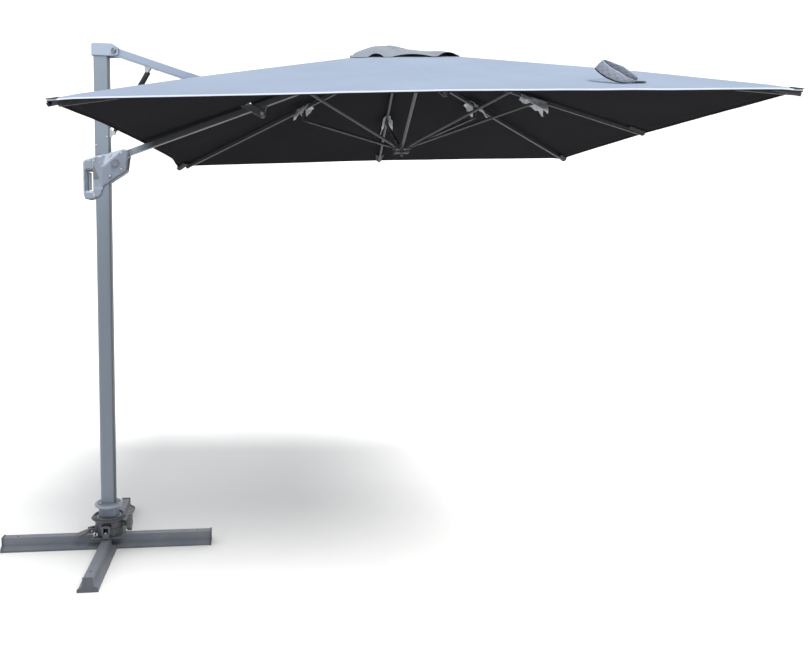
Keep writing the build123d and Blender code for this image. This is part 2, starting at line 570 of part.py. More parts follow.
# ================= gas spring =================
gas_length = hypot(gas_top_x - gas_x, gas_top_z - gas_z)
gas_lean = degrees(atan2(gas_top_z - gas_z, gas_top_x - gas_x))
gas_place = Pos(gas_x, 0, gas_z) * Rot(0, -gas_lean, 0)
cylinder_start = 14.0
cylinder = Pos(cylinder_start + GAS_CYLINDER_LENGTH / 2, 0, 0) * Rot(0, 90, 0) * Cylinder(
    GAS_CYLINDER_R, GAS_CYLINDER_LENGTH)
cylinder -= Pos(cylinder_start + 8 + GAS_CYLINDER_LENGTH / 2, 0, 0) * Rot(0, 90, 0) * Cylinder(
    GAS_ROD_R + PIN_GAP, GAS_CYLINDER_LENGTH)
cylinder += ear(0, 0, GAS_EYE_R, cylinder_start + 2, 0, GAS_EYE_R - 0.5, -5, 5)
cylinder -= rod_y(0, 0, GAS_PIN_R + PIN_GAP, -30, 30)
save("gas_cylinder", gas_place * cylinder)
rod_start = gas_length - 170.0
rod = Pos((rod_start + gas_length - 6) / 2, 0, 0) * Rot(0, 90, 0) * Cylinder(GAS_ROD_R, gas_length - 6 - rod_start)
rod += rod_y(gas_length, 0, GAS_EYE_R, -6, 6)
save("gas_rod", gas_place * rod)

# ================= crown =================
crown = Pos(0, 0, 2) * Cylinder(CROWN_DISC_R, CROWN_DISC_T)
pins = []
for name, azimuth in list(RIBS.items()) + [("arm", 180)]:
    half = (CROWN_TONGUE_WIDTH if name == "arm" else TONGUE_WIDTH) / 2 + SIDE_GAP
    pin_r = RIB_PIN_R + 1 if name == "arm" else RIB_PIN_R
    turn = Rot(0, 0, azimuth)
    for side in (-1, 1):
        y_low = half if side > 0 else -half - EAR_THICKNESS
        plate = Pos((PIN_RADIUS + EAR_REACH + 20) / 2, y_low + EAR_THICKNESS / 2, 2) * Box(
            PIN_RADIUS + EAR_REACH - 20, EAR_THICKNESS, CROWN_DISC_T)
        crown += turn * plate
    crown -= turn * Pos(PIN_RADIUS + 8, 0, 0) * Box(PIN_RADIUS + 6, 2 * half, 80)
    crown -= turn * rod_y(PIN_RADIUS, 0, pin_r, -60, 60)
    pins.append(TILT * turn * rod_y(PIN_RADIUS, 0, pin_r, -half - EAR_THICKNESS, half + EAR_THICKNESS))
save("crown_hub", TILT * crown)
save("crown_pins", Compound(pins))

post = Pos(0, 0, 15 + 12) * Cylinder(12, 24) + Pos(0, 0, 39) * Cylinder(30, 5)
save("vent_post", TILT * post)

# ================= ribs, struts and lower hub =================


def rib_angle(azimuth):
    return MID_ANGLE if azimuth % 90 == 0 else CORNER_ANGLE


def rib(azimuth):
    """One rib in its own plane: tube, root tongue, strut bracket and end plug."""
    corner = azimuth % 90 != 0
    angle = rib_angle(azimuth)
    rise = 0.0 if corner else MID_ROOT_RISE * cos(radians(angle))
    tip_r = CORNER_TIP_R if corner else MID_TIP_R
    length = (tip_r - PIN_RADIUS) / cos(radians(angle))
    joint_turn = radians(PIVOT_ANGLE - angle)
    joint_x = STRUT_LENGTH * cos(joint_turn)
    joint_z = -STRUT_LENGTH * sin(joint_turn)
    tube_from = 26.0
    tube = Pos(tube_from, 0, rise) * box_tube(length - tube_from, RIB_WIDTH, RIB_DEPTH, RIB_WALL, 2)
    plug = Pos(length - 8, 0, rise) * Box(16, RIB_WIDTH - 2 * RIB_WALL, RIB_DEPTH - 2 * RIB_WALL)
    plug += Pos(length + 5, 0, rise) * Box(10, RIB_WIDTH + 4, RIB_DEPTH)
    root = ear(0, 0, 8, tube_from + 4, rise, 8, -TONGUE_WIDTH / 2, TONGUE_WIDTH / 2)
    tongue_core = Pos(tube_from + 10, 0, rise) * Box(30, RIB_WIDTH - 2 * RIB_WALL, RIB_DEPTH - 2 * RIB_WALL)
    shape = tube + plug + root + tongue_core
    outer = STRUT_TONGUE / 2 + SIDE_GAP
    for y_low in (-outer - 3, outer):
        shape += ear(joint_x - 6, rise, 9, joint_x, joint_z, 8, y_low, y_low + 3)
    for y_low in (-outer - 3, RIB_WIDTH / 2 - 0.5):
        width = outer + 3 - RIB_WIDTH / 2 + 0.5
        shape += Pos(joint_x - 3, y_low + width / 2, rise) * Box(40, width, RIB_DEPTH - 4)
    shape -= Pos(joint_x, 0, (joint_z + rise - RIB_DEPTH / 2) / 2 - 20) * Box(
        60, 2 * outer, rise - RIB_DEPTH / 2 - joint_z + 40)
    shape -= rod_y(0, 0, RIB_PIN_R + PIN_GAP, -30, 30)
    shape += rod_y(joint_x, joint_z, RIB_PIN_R, -outer - 5, outer + 5)
    return Rot(0, angle, 0) * shape


def strut(lead):
    """One strut, a tube with flat tongues, along -X from its rib joint to the lower hub."""
    shape = Pos(-STRUT_LENGTH / 2, 0, 0) * Rot(0, 90, 0) * (
        Cylinder(STRUT_R, STRUT_LENGTH - 50) - Cylinder(STRUT_R - STRUT_WALL, STRUT_LENGTH))
    half = STRUT_TONGUE / 2
    for x, gap in ((0, PIN_GAP), (-STRUT_LENGTH, lead)):
        inward = -1 if x == 0 else 1
        shape += ear(x, 0, 7, x + inward * 36, 0, 6.5, -half, half)
        shape -= rod_y(x, 0, RIB_PIN_R + gap, -30, 30)
    return shape


for name, azimuth in RIBS.items():
    turn = TILT * Rot(0, 0, azimuth)
    save(f"rib_{name}", turn * Pos(PIN_RADIUS, 0, 0) * rib(azimuth))
    joint_r = PIN_RADIUS + STRUT_LENGTH * cos(radians(PIVOT_ANGLE))
    joint_z = -STRUT_LENGTH * sin(radians(PIVOT_ANGLE))
    gap = PIN_GAP if name == "right" else OPEN_PIVOT_GAP
    save(f"strut_{name}", turn * Pos(joint_r, 0, joint_z) * Rot(0, -PIVOT_ANGLE, 0) * strut(gap))

hub = Cylinder(HUB_DISC_R - 4, HUB_DISC_T)
hub_half = STRUT_TONGUE / 2 + SIDE_GAP
for azimuth in RIBS.values():
    turn = Rot(0, 0, azimuth)
    for y_low in (-hub_half - 3, hub_half):
        hub += turn * Pos((PIN_RADIUS + 30) / 2, y_low + 1.5, 0) * Box(PIN_RADIUS - 12, 3, HUB_DISC_T)
for azimuth in RIBS.values():
    turn = Rot(0, 0, azimuth)
    hub -= turn * Pos(PIN_RADIUS + 1, 0, 0) * Box(PIN_RADIUS - 12, 2 * hub_half, 80)
for azimuth in RIBS.values():
    turn = Rot(0, 0, azimuth)
    hub += turn * rod_y(PIN_RADIUS, 0, RIB_PIN_R, -hub_half - 3, hub_half + 3)
hub_place = TILT * Pos(0, 0, -HUB_DROP)
save("lower_hub", hub_place * hub)

grip = Pos(0, 0, -HUB_DISC_T / 2 - 6) * Cylinder(12, 12)
for turn in (45, 135):
    grip += Pos(0, 0, -HUB_DISC_T / 2 - 14) * Rot(0, 0, turn) * Rot(0, 90, 0) * Cylinder(HUB_BAR_R, HUB_BAR_LENGTH)
grip += Pos(0, 0, -HUB_DISC_T / 2 - 24) * Cylinder(7, 16)
save("hub_handle", hub_place * grip)

# ================= canopy =================


def pyramid(half, apex, slope):
    """A square pyramid over the crown, closed below by its edge plane."""
    low = apex - slope * half
    corners = [(-half, -half, low), (half, -half, low), (half, half, low), (-half, half, low)]
    top = (0, 0, apex)
    faces = [Face(Wire.make_polygon(corners))]
    for first, second in zip(corners, corners[1:] + corners[:1]):
        faces.append(Face(Wire.make_polygon([first, second, top])))
    return Solid(Shell(faces))


sheet = pyramid(CANOPY_HALF, CANOPY_APEX, CANOPY_SLOPE)
under = pyramid(CANOPY_HALF + 20, CANOPY_APEX - CANOPY_THICKNESS, CANOPY_SLOPE)
sheet = sheet - under
sheet -= Box(2 * VENT_HALF, 2 * VENT_HALF, 400)
arm_slot_mid = -(ARM_SLOT_IN + ARM_SLOT_OUT) / 2
sheet -= Pos(arm_slot_mid, 0, -150) * Box(ARM_SLOT_OUT - ARM_SLOT_IN, 2 * ARM_SLOT_HALF, 600)
save("canopy", TILT * sheet)

cap_slope = (VENT_CAP_RISE - VENT_CAP_EDGE) / VENT_CAP_HALF
vent = pyramid(VENT_CAP_HALF, VENT_CAP_RISE, cap_slope)
vent -= pyramid(VENT_CAP_HALF + 10, VENT_CAP_RISE - CANOPY_THICKNESS, cap_slope)
save("canopy_vent", TILT * vent)

strap_x = 660.0
strap_y = -1080.0
strap_arc = 75.0
strap_outer = Rot(90, 0, 0) * Cylinder(strap_arc, STRAP_WIDTH)
strap_outer -= Rot(90, 0, 0) * Cylinder(strap_arc - STRAP_THICKNESS, STRAP_WIDTH + 2)
strap_outer &= Pos(0, 0, strap_arc) * Box(400, 400, 2 * STRAP_RISE)
strap_base = CANOPY_APEX + CANOPY_SLOPE * (strap_y + STRAP_WIDTH / 2) + 2
strap = Pos(strap_x, strap_y, strap_base - strap_arc + STRAP_RISE) * strap_outer
save("tie_strap", TILT * strap)

print("slider pivot z", round(SLIDER_Z, 2), "elbow", round(ELBOW_X, 2), round(ELBOW_Z, 2))
print("pivot angle", round(PIVOT_ANGLE, 3), "corner angle", round(CORNER_ANGLE, 3), "hub drop", round(HUB_DROP, 2))
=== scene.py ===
import json
from math import atan2, cos, hypot, pi, radians, sin

import bmesh
import bpy
from mathutils import Matrix, Vector, noise


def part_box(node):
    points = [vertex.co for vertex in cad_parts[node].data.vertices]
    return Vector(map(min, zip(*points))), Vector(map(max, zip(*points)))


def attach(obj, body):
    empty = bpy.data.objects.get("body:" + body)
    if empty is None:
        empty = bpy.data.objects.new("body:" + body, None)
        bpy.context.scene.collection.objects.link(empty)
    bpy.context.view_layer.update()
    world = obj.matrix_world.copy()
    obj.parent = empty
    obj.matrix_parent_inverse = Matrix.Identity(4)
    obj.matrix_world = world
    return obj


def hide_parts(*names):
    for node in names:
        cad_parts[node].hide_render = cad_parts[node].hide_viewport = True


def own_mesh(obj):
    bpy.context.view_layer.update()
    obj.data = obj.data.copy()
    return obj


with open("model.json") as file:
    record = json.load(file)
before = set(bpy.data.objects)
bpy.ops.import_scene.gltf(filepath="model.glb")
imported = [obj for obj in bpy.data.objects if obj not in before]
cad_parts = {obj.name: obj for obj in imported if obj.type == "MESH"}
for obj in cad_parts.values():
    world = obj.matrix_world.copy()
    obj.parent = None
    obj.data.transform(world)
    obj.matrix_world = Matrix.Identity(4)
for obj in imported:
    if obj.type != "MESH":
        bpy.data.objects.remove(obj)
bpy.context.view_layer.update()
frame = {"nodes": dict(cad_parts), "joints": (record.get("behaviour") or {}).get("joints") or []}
nodes = frame["nodes"]
joint_place = {joint["name"]: Vector(joint["pos_m"]) for joint in frame["joints"] if "pos_m" in joint}

# ---- Camera ----
# Someone standing in front of the canopy, a little to the right of the mast, eyes at 1.6 m.
# A normal lens, held slightly turned and tipped, with the whole parasol in view.
EYE = Vector((0.9982, -3.7774, 1.6253))
EYE_TURN = 0.09133
EYE_TIP = -0.11979
EYE_ROLL = 0.02744
LENS = 33.586
SHIFT_X = 0.0313
SHIFT_Y = -0.0012

looking = Vector((sin(EYE_TURN) * cos(EYE_TIP), cos(EYE_TURN) * cos(EYE_TIP), sin(EYE_TIP)))
level_right = Vector((cos(EYE_TURN), -sin(EYE_TURN), 0))
level_up = level_right.cross(looking)
right = level_right * cos(EYE_ROLL) + level_up * sin(EYE_ROLL)
up = level_up * cos(EYE_ROLL) - level_right * sin(EYE_ROLL)
camera_data = bpy.data.cameras.new("camera")
camera_data.sensor_width = 36
camera_data.lens = LENS
camera_data.shift_x = SHIFT_X
camera_data.shift_y = SHIFT_Y
camera = bpy.data.objects.new("camera", camera_data)
camera.matrix_world = Matrix.Translation(EYE) @ Matrix((right, up, -looking)).transposed().to_4x4()
bpy.context.scene.collection.objects.link(camera)
bpy.context.scene.camera = camera

# ---- Ground and light ----
# Pale, smooth concrete that the cross base lies on, under a bright overcast sky.
# A wide soft sun stands high at the back right, so the canopy shades the mast below it.
GROUND_NEAR = -16.0
GROUND_FAR = 16.0
SWEEP = 8.0
GROUND_HALF = 40.0
SUN_STRENGTH = 3.5
SUN_WIDTH = radians(30)
SUN_FROM = Vector((0.45, -0.5, 1.0))
SKY_LEFT = 1.02
SKY_RIGHT = 0.42


class Feed:
    """One output in a finish's nodes; sums on it add Math nodes."""

    def __init__(self, finish, socket):
        self.finish = finish
        self.socket = socket

    def __add__(self, other):
        return self.finish.maths("ADD", self, other)

    def __radd__(self, other):
        return self.finish.maths("ADD", other, self)

    def __sub__(self, other):
        return self.finish.maths("SUBTRACT", self, other)

    def __rsub__(self, other):
        return self.finish.maths("SUBTRACT", other, self)

    def __mul__(self, other):
        return self.finish.maths("MULTIPLY", self, other)

    def __rmul__(self, other):
        return self.finish.maths("MULTIPLY", other, self)

    def __lt__(self, other):
        return self.finish.maths("LESS_THAN", self, other)

    def __gt__(self, other):
        return self.finish.maths("GREATER_THAN", self, other)

    def __abs__(self):
        return self.finish.maths("ABSOLUTE", self)


class Finish:
    """A surface finish: a named material on one Principled shader, built up node by node."""

    def __init__(self, name, **even):
        self.material = bpy.data.materials.new(name)
        self.material.use_nodes = True
        self.tree = self.material.node_tree
        self.shader = self.tree.nodes["Principled BSDF"]
        self.lay(**even)

    def lay(self, **values):
        """Sets or links the shader's sockets, named with underscores for spaces."""
        for name, value in values.items():
            self.join(self.shader.inputs[name.replace("_", " ")], value)
        return self

    def join(self, socket, value):
        if isinstance(value, Feed):
            self.tree.links.new(value.socket, socket)
        elif socket.type == "RGBA" and len(value) == 3:
            socket.default_value = (*value, 1)
        else:
            socket.default_value = value

    def node(self, kind, settings=None, values=None, out=0):
        """Adds a node: first its settings or a ramp's stops, then its sockets by name or number."""
        made = self.tree.nodes.new("ShaderNode" + kind)
        for name, value in (settings or {}).items():
            if name == "stops":
                stops = made.color_ramp.elements
                while len(stops) < len(value):
                    stops.new(0.5)
                for stop, (place, shade) in zip(stops, value):
                    stop.position = place
                    stop.color = (shade, shade, shade, 1)
            else:
                setattr(made, name, value)
        shown = [socket for socket in made.inputs if socket.enabled]
        for key, value in (values or {}).items():
            socket = shown[key] if isinstance(key, int) else next(s for s in shown if s.name == key)
            self.join(socket, value)
        given = [socket for socket in made.outputs if socket.enabled]
        return Feed(self, given[out] if isinstance(out, int) else made.outputs[out])

    def maths(self, operation, *terms):
        return self.node("Math", {"operation": operation}, dict(enumerate(terms)))

    def place(self):
        return self.node("TexCoord", out="Object")

    def parts(self, vector):
        """A vector's x, y and z."""
        split = self.node("SeparateXYZ", {}, {0: vector})
        return [Feed(self, socket) for socket in split.socket.node.outputs]

    def softened(self, radius, samples=4):
        """A bevelled normal, and how far it turns off the true one, from 0 on flats to 1."""
        soft = self.node("Bevel", {"samples": samples}, {"Radius": radius})
        flat = self.node("NewGeometry", out="Normal")
        return soft, 1 - self.node("VectorMath", {"operation": "DOT_PRODUCT"}, {0: soft, 1: flat}, out="Value")

    def lean(self, direction):
        """How far the surface faces a direction."""
        flat = self.node("NewGeometry", out="Normal")
        return self.node("VectorMath", {"operation": "DOT_PRODUCT"}, {0: flat, 1: direction}, out="Value")

    def grain(self, scale, detail=2.0, rough=0.5, where=None, stretch=None):
        """Noise from 0 to 1, so many lumps to a metre."""
        where = where or self.place()
        if stretch:
            where = self.node("Mapping", {}, {"Vector": where, "Scale": stretch})
        return self.node("TexNoise", {}, {"Vector": where, "Scale": scale, "Detail": detail,
                                          "Roughness": rough})

    def blend(self, share, first, second):
        return self.node("Mix", {"data_type": "RGBA"}, {"Factor": share, "A": first, "B": second})

    def ramp(self, value, *stops):
        return self.node("ValToRGB", {"stops": stops}, {"Fac": value})

    def bump(self, height, distance, strength=1.0, normal=None):
        values = {"Height": height, "Distance": distance, "Strength": strength}
        if normal:
            values["Normal"] = normal
        return self.node("Bump", {}, values)


def darker(colour, share):
    return tuple(part * share for part in colour)


def ground_finish():
    """Trowelled pale concrete: broad cloudy stains and a fine sandy tooth."""
    finish = Finish("pale_ground", Specular_IOR_Level=0.2)
    clouds = finish.grain(0.7, 4, 0.6)
    sand = finish.grain(260, 2, 0.6)
    colour = finish.blend(finish.ramp(clouds, (0.35, 0), (0.7, 1)), (0.86, 0.86, 0.86), (0.9, 0.9, 0.9))
    return finish.lay(Base_Color=colour, Roughness=0.82 + sand * 0.1,
                      Normal=finish.bump(sand, 0.0004, 0.3)).material


ground_mesh = bmesh.new()
sweep = [(GROUND_FAR + SWEEP * sin(radians(turn)), SWEEP - SWEEP * cos(radians(turn)))
         for turn in range(0, 91, 6)]
ground_line = [ground_mesh.verts.new((-GROUND_HALF, y, z))
               for y, z in [(GROUND_NEAR, 0)] + sweep + [(GROUND_FAR + SWEEP, 30)]]
ground_edges = [ground_mesh.edges.new(pair) for pair in zip(ground_line, ground_line[1:])]
widened = bmesh.ops.extrude_edge_only(ground_mesh, edges=ground_edges)
bmesh.ops.translate(ground_mesh, vec=(2 * GROUND_HALF, 0, 0),
                    verts=[item for item in widened["geom"] if isinstance(item, bmesh.types.BMVert)])
ground_data = bpy.data.meshes.new("ground")
ground_mesh.to_mesh(ground_data)
ground_data.materials.append(ground_finish())
ground_data.shade_smooth()
ground = bpy.data.objects.new("ground", ground_data)
bpy.context.scene.collection.objects.link(ground)

world = bpy.data.worlds.new("sky")
world.use_nodes = True
sky = world.node_tree
side = sky.nodes.new("ShaderNodeSeparateXYZ")
sky.links.new(sky.nodes.new("ShaderNodeTexCoord").outputs["Generated"], side.inputs[0])
brighter = sky.nodes.new("ShaderNodeMapRange")
brighter.inputs["From Min"].default_value = -0.7
brighter.inputs["From Max"].default_value = 0.7
brighter.inputs["To Min"].default_value = SKY_LEFT
brighter.inputs["To Max"].default_value = SKY_RIGHT
sky.links.new(side.outputs["X"], brighter.inputs["Value"])
sky.links.new(brighter.outputs["Result"], sky.nodes["Background"].inputs["Strength"])
sky.nodes["Background"].inputs["Color"].default_value = (0.96, 0.98, 1.0, 1)
bpy.context.scene.world = world
bpy.context.scene.view_settings.view_transform = "Standard"

sun_data = bpy.data.lights.new("sun", "SUN")
sun_data.energy = SUN_STRENGTH
sun_data.angle = SUN_WIDTH
sun_data.color = (1.0, 0.985, 0.96)
sun = bpy.data.objects.new("sun", sun_data)
sun.rotation_mode = "QUATERNION"
sun.rotation_quaternion = SUN_FROM.to_track_quat("Z", "Y")
bpy.context.scene.collection.objects.link(sun)

# ---- Cross base: two long rails and two half rails, seat plate and end caps ----
# Folded steel rails in a slate-grey textured powder coat, bolted under a square seat plate.
# The open ends are closed by black plastic caps that stand a little proud of the steel.
RAIL_GREY = (0.125, 0.14, 0.172)
PLATE_GREY = (0.10, 0.105, 0.12)
CAP_BLACK = (0.075, 0.078, 0.095)


def powder_coat(name, colour, tooth=0.35, roughness=0.42, wear_and_highlight=0.5, grime=0.0):
    """Baked powder paint: orange peel, faint mottling, painted shade in its crevices, and paler, smoother edges,
    partly where it is rubbed and partly a painted edge highlight.
    """
    finish = Finish(name, Specular_IOR_Level=0.45)
    soft, bent = finish.softened(0.0015)
    peel = finish.grain(750, 2, 0.5)
    mottle = finish.grain(14, 4, 0.65)
    edge = finish.ramp(bent, (0.02, 0), (0.22, 1)) * finish.ramp(mottle, (0.4, 0.3), (0.65, 1)) * wear_and_highlight
    ground_in = finish.ramp(finish.grain(3.1, 5, 0.7), (0.45, 0), (0.75, 1)) * 0.35
    plain = finish.blend(mottle, darker(colour, 0.93), darker(colour, 1.07))
    # Painted shade: ambient occlusion darkens the coat in crevices, inner corners and near the floor.
    shut_in = finish.node("AmbientOcclusion", {"samples": 4}, {"Distance": 0.03}, out="AO")
    painted_crevice_shade = finish.blend(finish.ramp(shut_in, (0.3, 0.8), (0.85, 0)), plain, darker(colour, 0.3))
    dusty = finish.blend(ground_in * (0.35 + grime), painted_crevice_shade, (0.30, 0.285, 0.26))
    # Paler edges: partly rubbed wear, partly a painted edge highlight.
    rubbed = finish.blend(edge, dusty, tuple(min(1, part * 1.5 + 0.05) for part in colour))
    return finish.lay(Base_Color=rubbed, Roughness=roughness + mottle * 0.14 - edge * 0.1,
                      Normal=finish.bump(peel, 0.0004, tooth, soft)).material


def moulded(name, colour, roughness=0.5, spark=0.5, scuff=0.35):
    """Injection-moulded plastic: spark-eroded grain, flow shading and pale scuffs on its corners."""
    finish = Finish(name, Specular_IOR_Level=0.4)
    soft, bent = finish.softened(0.001)
    eroded = finish.node("TexVoronoi", {}, {"Vector": finish.place(), "Scale": 900.0})
    flow = finish.grain(22, 3, 0.6, stretch=(1, 1, 0.25))
    corner = finish.ramp(bent, (0.03, 0), (0.3, 1)) * finish.grain(60, 3, 0.7) * scuff
    plain = finish.blend(flow, darker(colour, 0.9), darker(colour, 1.1))
    scuffed = finish.blend(corner, plain, tuple(min(1, part * 1.4 + 0.06) for part in colour))
    return finish.lay(Base_Color=scuffed, Roughness=roughness + flow * 0.12,
                      Normal=finish.bump(eroded, 0.00025, spark, soft)).material


def bright_zinc(name, tint=(0.72, 0.73, 0.75), roughness=0.24):
    """Plated fasteners: faint turning lines, cloudy passivation and a little dulling."""
    finish = Finish(name, Specular_IOR_Level=0.6)
    lines = finish.grain(1400, 1, 0.5, stretch=(1, 0.06, 1))
    cloud = finish.grain(120, 4, 0.7)
    colour = finish.blend(cloud, darker(tint, 0.82), tint)
    return finish.lay(Base_Color=colour, Metallic=1.0, Roughness=roughness + cloud * 0.16,
                      Normal=finish.bump(lines, 0.0001, 0.35)).material


def coat_nodes(finish, *names):
    """Gives CAD nodes their finish."""
    for name in names:
        mesh = nodes[name].data
        mesh.materials.clear()
        mesh.materials.append(finish)


def set_down(name, mesh, finish, body, smooth=True):
    """Makes a finished bmesh a piece that rides on a body."""
    bmesh.ops.remove_doubles(mesh, verts=mesh.verts, dist=0.00002)
    data = bpy.data.meshes.new(name)
    mesh.to_mesh(data)
    mesh.free()
    for one in finish if isinstance(finish, list) else [finish]:
        data.materials.append(one)
    if smooth:
        data.shade_smooth()
    piece = bpy.data.objects.new(name, data)
    bpy.context.scene.collection.objects.link(piece)
    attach(piece, body)
    return piece


PLUG_REACH = 0.435
rail_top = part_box("base_rail_long")[1].z
plugs = bmesh.new()
for turn in (0, 90, 180, 270):
    made = bmesh.ops.create_cone(plugs, cap_ends=True, segments=20, radius1=0.0048, radius2=0.0036,
                                 depth=0.0016)["verts"]
    place = Matrix.Rotation(radians(turn + 4), 4, "Z") @ Matrix.Translation((PLUG_REACH, 0, rail_top))
    bmesh.ops.transform(plugs, verts=made, matrix=place)
set_down("rail_hole_plugs", plugs, moulded("plug_rubber", (0.008, 0.008, 0.009), roughness=0.6), "base")

rail_paint = powder_coat("rail_paint", RAIL_GREY, tooth=0.8, roughness=0.40, wear_and_highlight=0.6, grime=0.4)
coat_nodes(rail_paint, "base_rail_long", "base_rail_halves")
coat_nodes(powder_coat("seat_plate_paint", PLATE_GREY, tooth=0.9, roughness=0.45), "base_seat_plate")
cap_plastic = moulded("cap_plastic", CAP_BLACK, roughness=0.48)
coat_nodes(cap_plastic, "base_caps_and_foot")
zinc = bright_zinc("zinc_plate")
coat_nodes(zinc, "base_bolts", "ring_bolt", "pedal_pin", "mast_bolts",
           "elbow_pin", "crown_pins", "trigger_spring")

# ---- Swivel housing, its rings, brake pedal and clamping knob ----
# A black-grey ribbed casting that holds the turning mast, bolted to the seat plate.
# Its top carries stepped rings, its front a notched lug; pedal and star knob are black plastic.
HOUSING_GREY = (0.078, 0.083, 0.100)
KNOB_BLACK = (0.085, 0.088, 0.094)
housing_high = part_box("swivel_housing")[1]
plate_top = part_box("base_seat_plate")[1].z


def ring_profile(mesh, points, steps=64):
    """Spins an outline of radius and height about the mast's axis."""
    corners = [mesh.verts.new((radius, 0, height)) for radius, height in points]
    edges = [mesh.edges.new(pair) for pair in zip(corners, corners[1:] + corners[:1])]
    bmesh.ops.spin(mesh, geom=corners + edges, cent=(0, 0, 0), axis=(0, 0, 1), angle=2 * pi,
                   steps=steps, use_merge=True)
    bmesh.ops.recalc_face_normals(mesh, faces=mesh.faces)


housing_paint = powder_coat("housing_paint", HOUSING_GREY, tooth=1.0, roughness=0.42, wear_and_highlight=0.9, grime=0.25)
coat_nodes(housing_paint, "swivel_housing")
coat_nodes(moulded("knob_plastic", KNOB_BLACK, roughness=0.42, scuff=0.8), "star_knob", "foot_pedal")
coat_nodes(moulded("bush_plastic", (0.5, 0.5, 0.48), roughness=0.35), "swivel_bush")
coat_nodes(powder_coat("spindle_paint", (0.09, 0.095, 0.105)), "swivel_spindle")

rings = bmesh.new()
for radius, low, rise in ((0.0705, housing_high.z - 0.001, 0.007), (0.0795, housing_high.z - 0.009, 0.005)):
    ring_profile(rings, [(radius - 0.004, low), (radius + 0.004, low), (radius + 0.0048, low + rise * 0.5),
                         (radius + 0.003, low + rise), (radius - 0.003, low + rise)])
ring_profile(rings, [(0.0655, plate_top + 0.030), (0.0700, plate_top + 0.032), (0.0700, plate_top + 0.038),
                     (0.0655, plate_top + 0.040)])
housing_rings = set_down("housing_rings", rings, housing_paint, "base")

lug = bmesh.new()
for side in (-1, 1):
    made = bmesh.ops.create_cube(lug, size=1)["verts"]
    bmesh.ops.scale(lug, verts=made, vec=(0.011, 0.030, 0.040))
    bmesh.ops.translate(lug, verts=made, vec=(side * 0.0165, -0.080, plate_top + 0.044))
made = bmesh.ops.create_cube(lug, size=1)["verts"]
bmesh.ops.scale(lug, verts=made, vec=(0.044, 0.026, 0.012))
bmesh.ops.translate(lug, verts=made, vec=(0, -0.078, plate_top + 0.058))
bmesh.ops.bevel(lug, geom=lug.edges, affect="EDGES", offset=0.0025, segments=2, profile=0.5, material=-1)
bmesh.ops.rotate(lug, verts=lug.verts, cent=(0, 0, 0), matrix=Matrix.Rotation(radians(4), 3, "Z"))
set_down("housing_front_lug", lug, housing_paint, "base")

# ---- Mast, its sleeve and turning ring ----
# A rounded rectangular aluminium tube in satin light blue-grey powder coat.
# A grey plastic sleeve hides its foot, and a round grab ring above it turns the whole parasol.
MAST_BLUE = (0.165, 0.198, 0.24)
# Between these two heights the mast's coat is painted lighter: painted light for the brighter light above the
# canopy.
PAINTED_LIGHT_FROM = 1.9
PAINTED_LIGHT_TO = 2.4
SLEEVE_BLUE = (0.16, 0.195, 0.25)
RING_BLUE = (0.26, 0.30, 0.35)


def mast_coat(name, colour):
    """The mast's satin coat: drawn-tube streaks along its length, a few paler handling rubs, painted light towards
    the top and on faces turned up and left, and painted shade on faces turned down and right.
    """
    finish = Finish(name, Specular_IOR_Level=0.5)
    soft = finish.node("Bevel", {"samples": 4}, {"Radius": 0.0015})
    streak = finish.grain(60, 3, 0.6, stretch=(1, 1, 0.02))
    cloud = finish.grain(2.3, 4, 0.6)
    peel = finish.grain(620, 2, 0.5)
    rub = finish.ramp(finish.grain(9, 5, 0.75), (0.6, 0), (0.72, 1)) * 0.12
    lean = finish.lean((-0.75, 0, 0.66))
    height = finish.parts(finish.place())[2]
    toned = finish.blend(streak * 0.5 + cloud * 0.5, darker(colour, 0.92), darker(colour, 1.08))
    # Painted light: the coat lightens between those two heights.
    painted_light_above = finish.ramp((height - PAINTED_LIGHT_FROM) * (1 / (PAINTED_LIGHT_TO - PAINTED_LIGHT_FROM)), (0, 0), (1, 1))
    plain = finish.blend(painted_light_above, toned, darker(colour, 1.4))
    # Painted light on faces turned up and to the left; painted shade on faces turned down and to the right.
    faded = finish.blend(finish.ramp(lean, (0.25, 0), (0.8, 0.8)), plain, darker(colour, 1.5))
    painted_shade = finish.blend(finish.ramp(0 - lean, (0.25, 0), (0.75, 0.9)), faded, darker(colour, 0.22))
    rubbed = finish.blend(rub, painted_shade, tuple(min(1, part * 1.25) for part in colour))
    return finish.lay(Base_Color=rubbed, Roughness=0.36 + cloud * 0.12 + rub * 0.4,
                      Normal=finish.bump(peel, 0.0003, 0.25, soft)).material


mast_paint = mast_coat("mast_paint", MAST_BLUE)
coat_nodes(mast_paint, "mast_tube")
coat_nodes(moulded("sleeve_plastic", SLEEVE_BLUE, roughness=0.42, scuff=0.5), "mast_sleeve")
coat_nodes(moulded("ring_plastic", RING_BLUE, roughness=0.38, scuff=0.9), "turn_ring")

# ---- Head casting, upper arm and gas spring ----
# A cast cap in the mast's paint, closed round a bolt with a domed head, holds the upper arm.
# The gas spring has a black cylinder, a polished rod and a bright clevis under the arm.
# The cap's colour and the upper arm's are lighter copies of the mast's paint: painted light for the brighter light
# above the canopy.
HEAD_PAINTED_LIGHT_BLUE = (0.25, 0.295, 0.375)
SHADE_HEIGHT = 2.214
DOME_R = 0.0095

coat_nodes(mast_coat("head_paint", HEAD_PAINTED_LIGHT_BLUE), "head_casting")
# Painted light: the upper arm's coat is a lighter copy of the mast's.
arm_paint = mast_coat("arm_paint", (0.22, 0.26, 0.33))
coat_nodes(arm_paint, "upper_arm_tube")


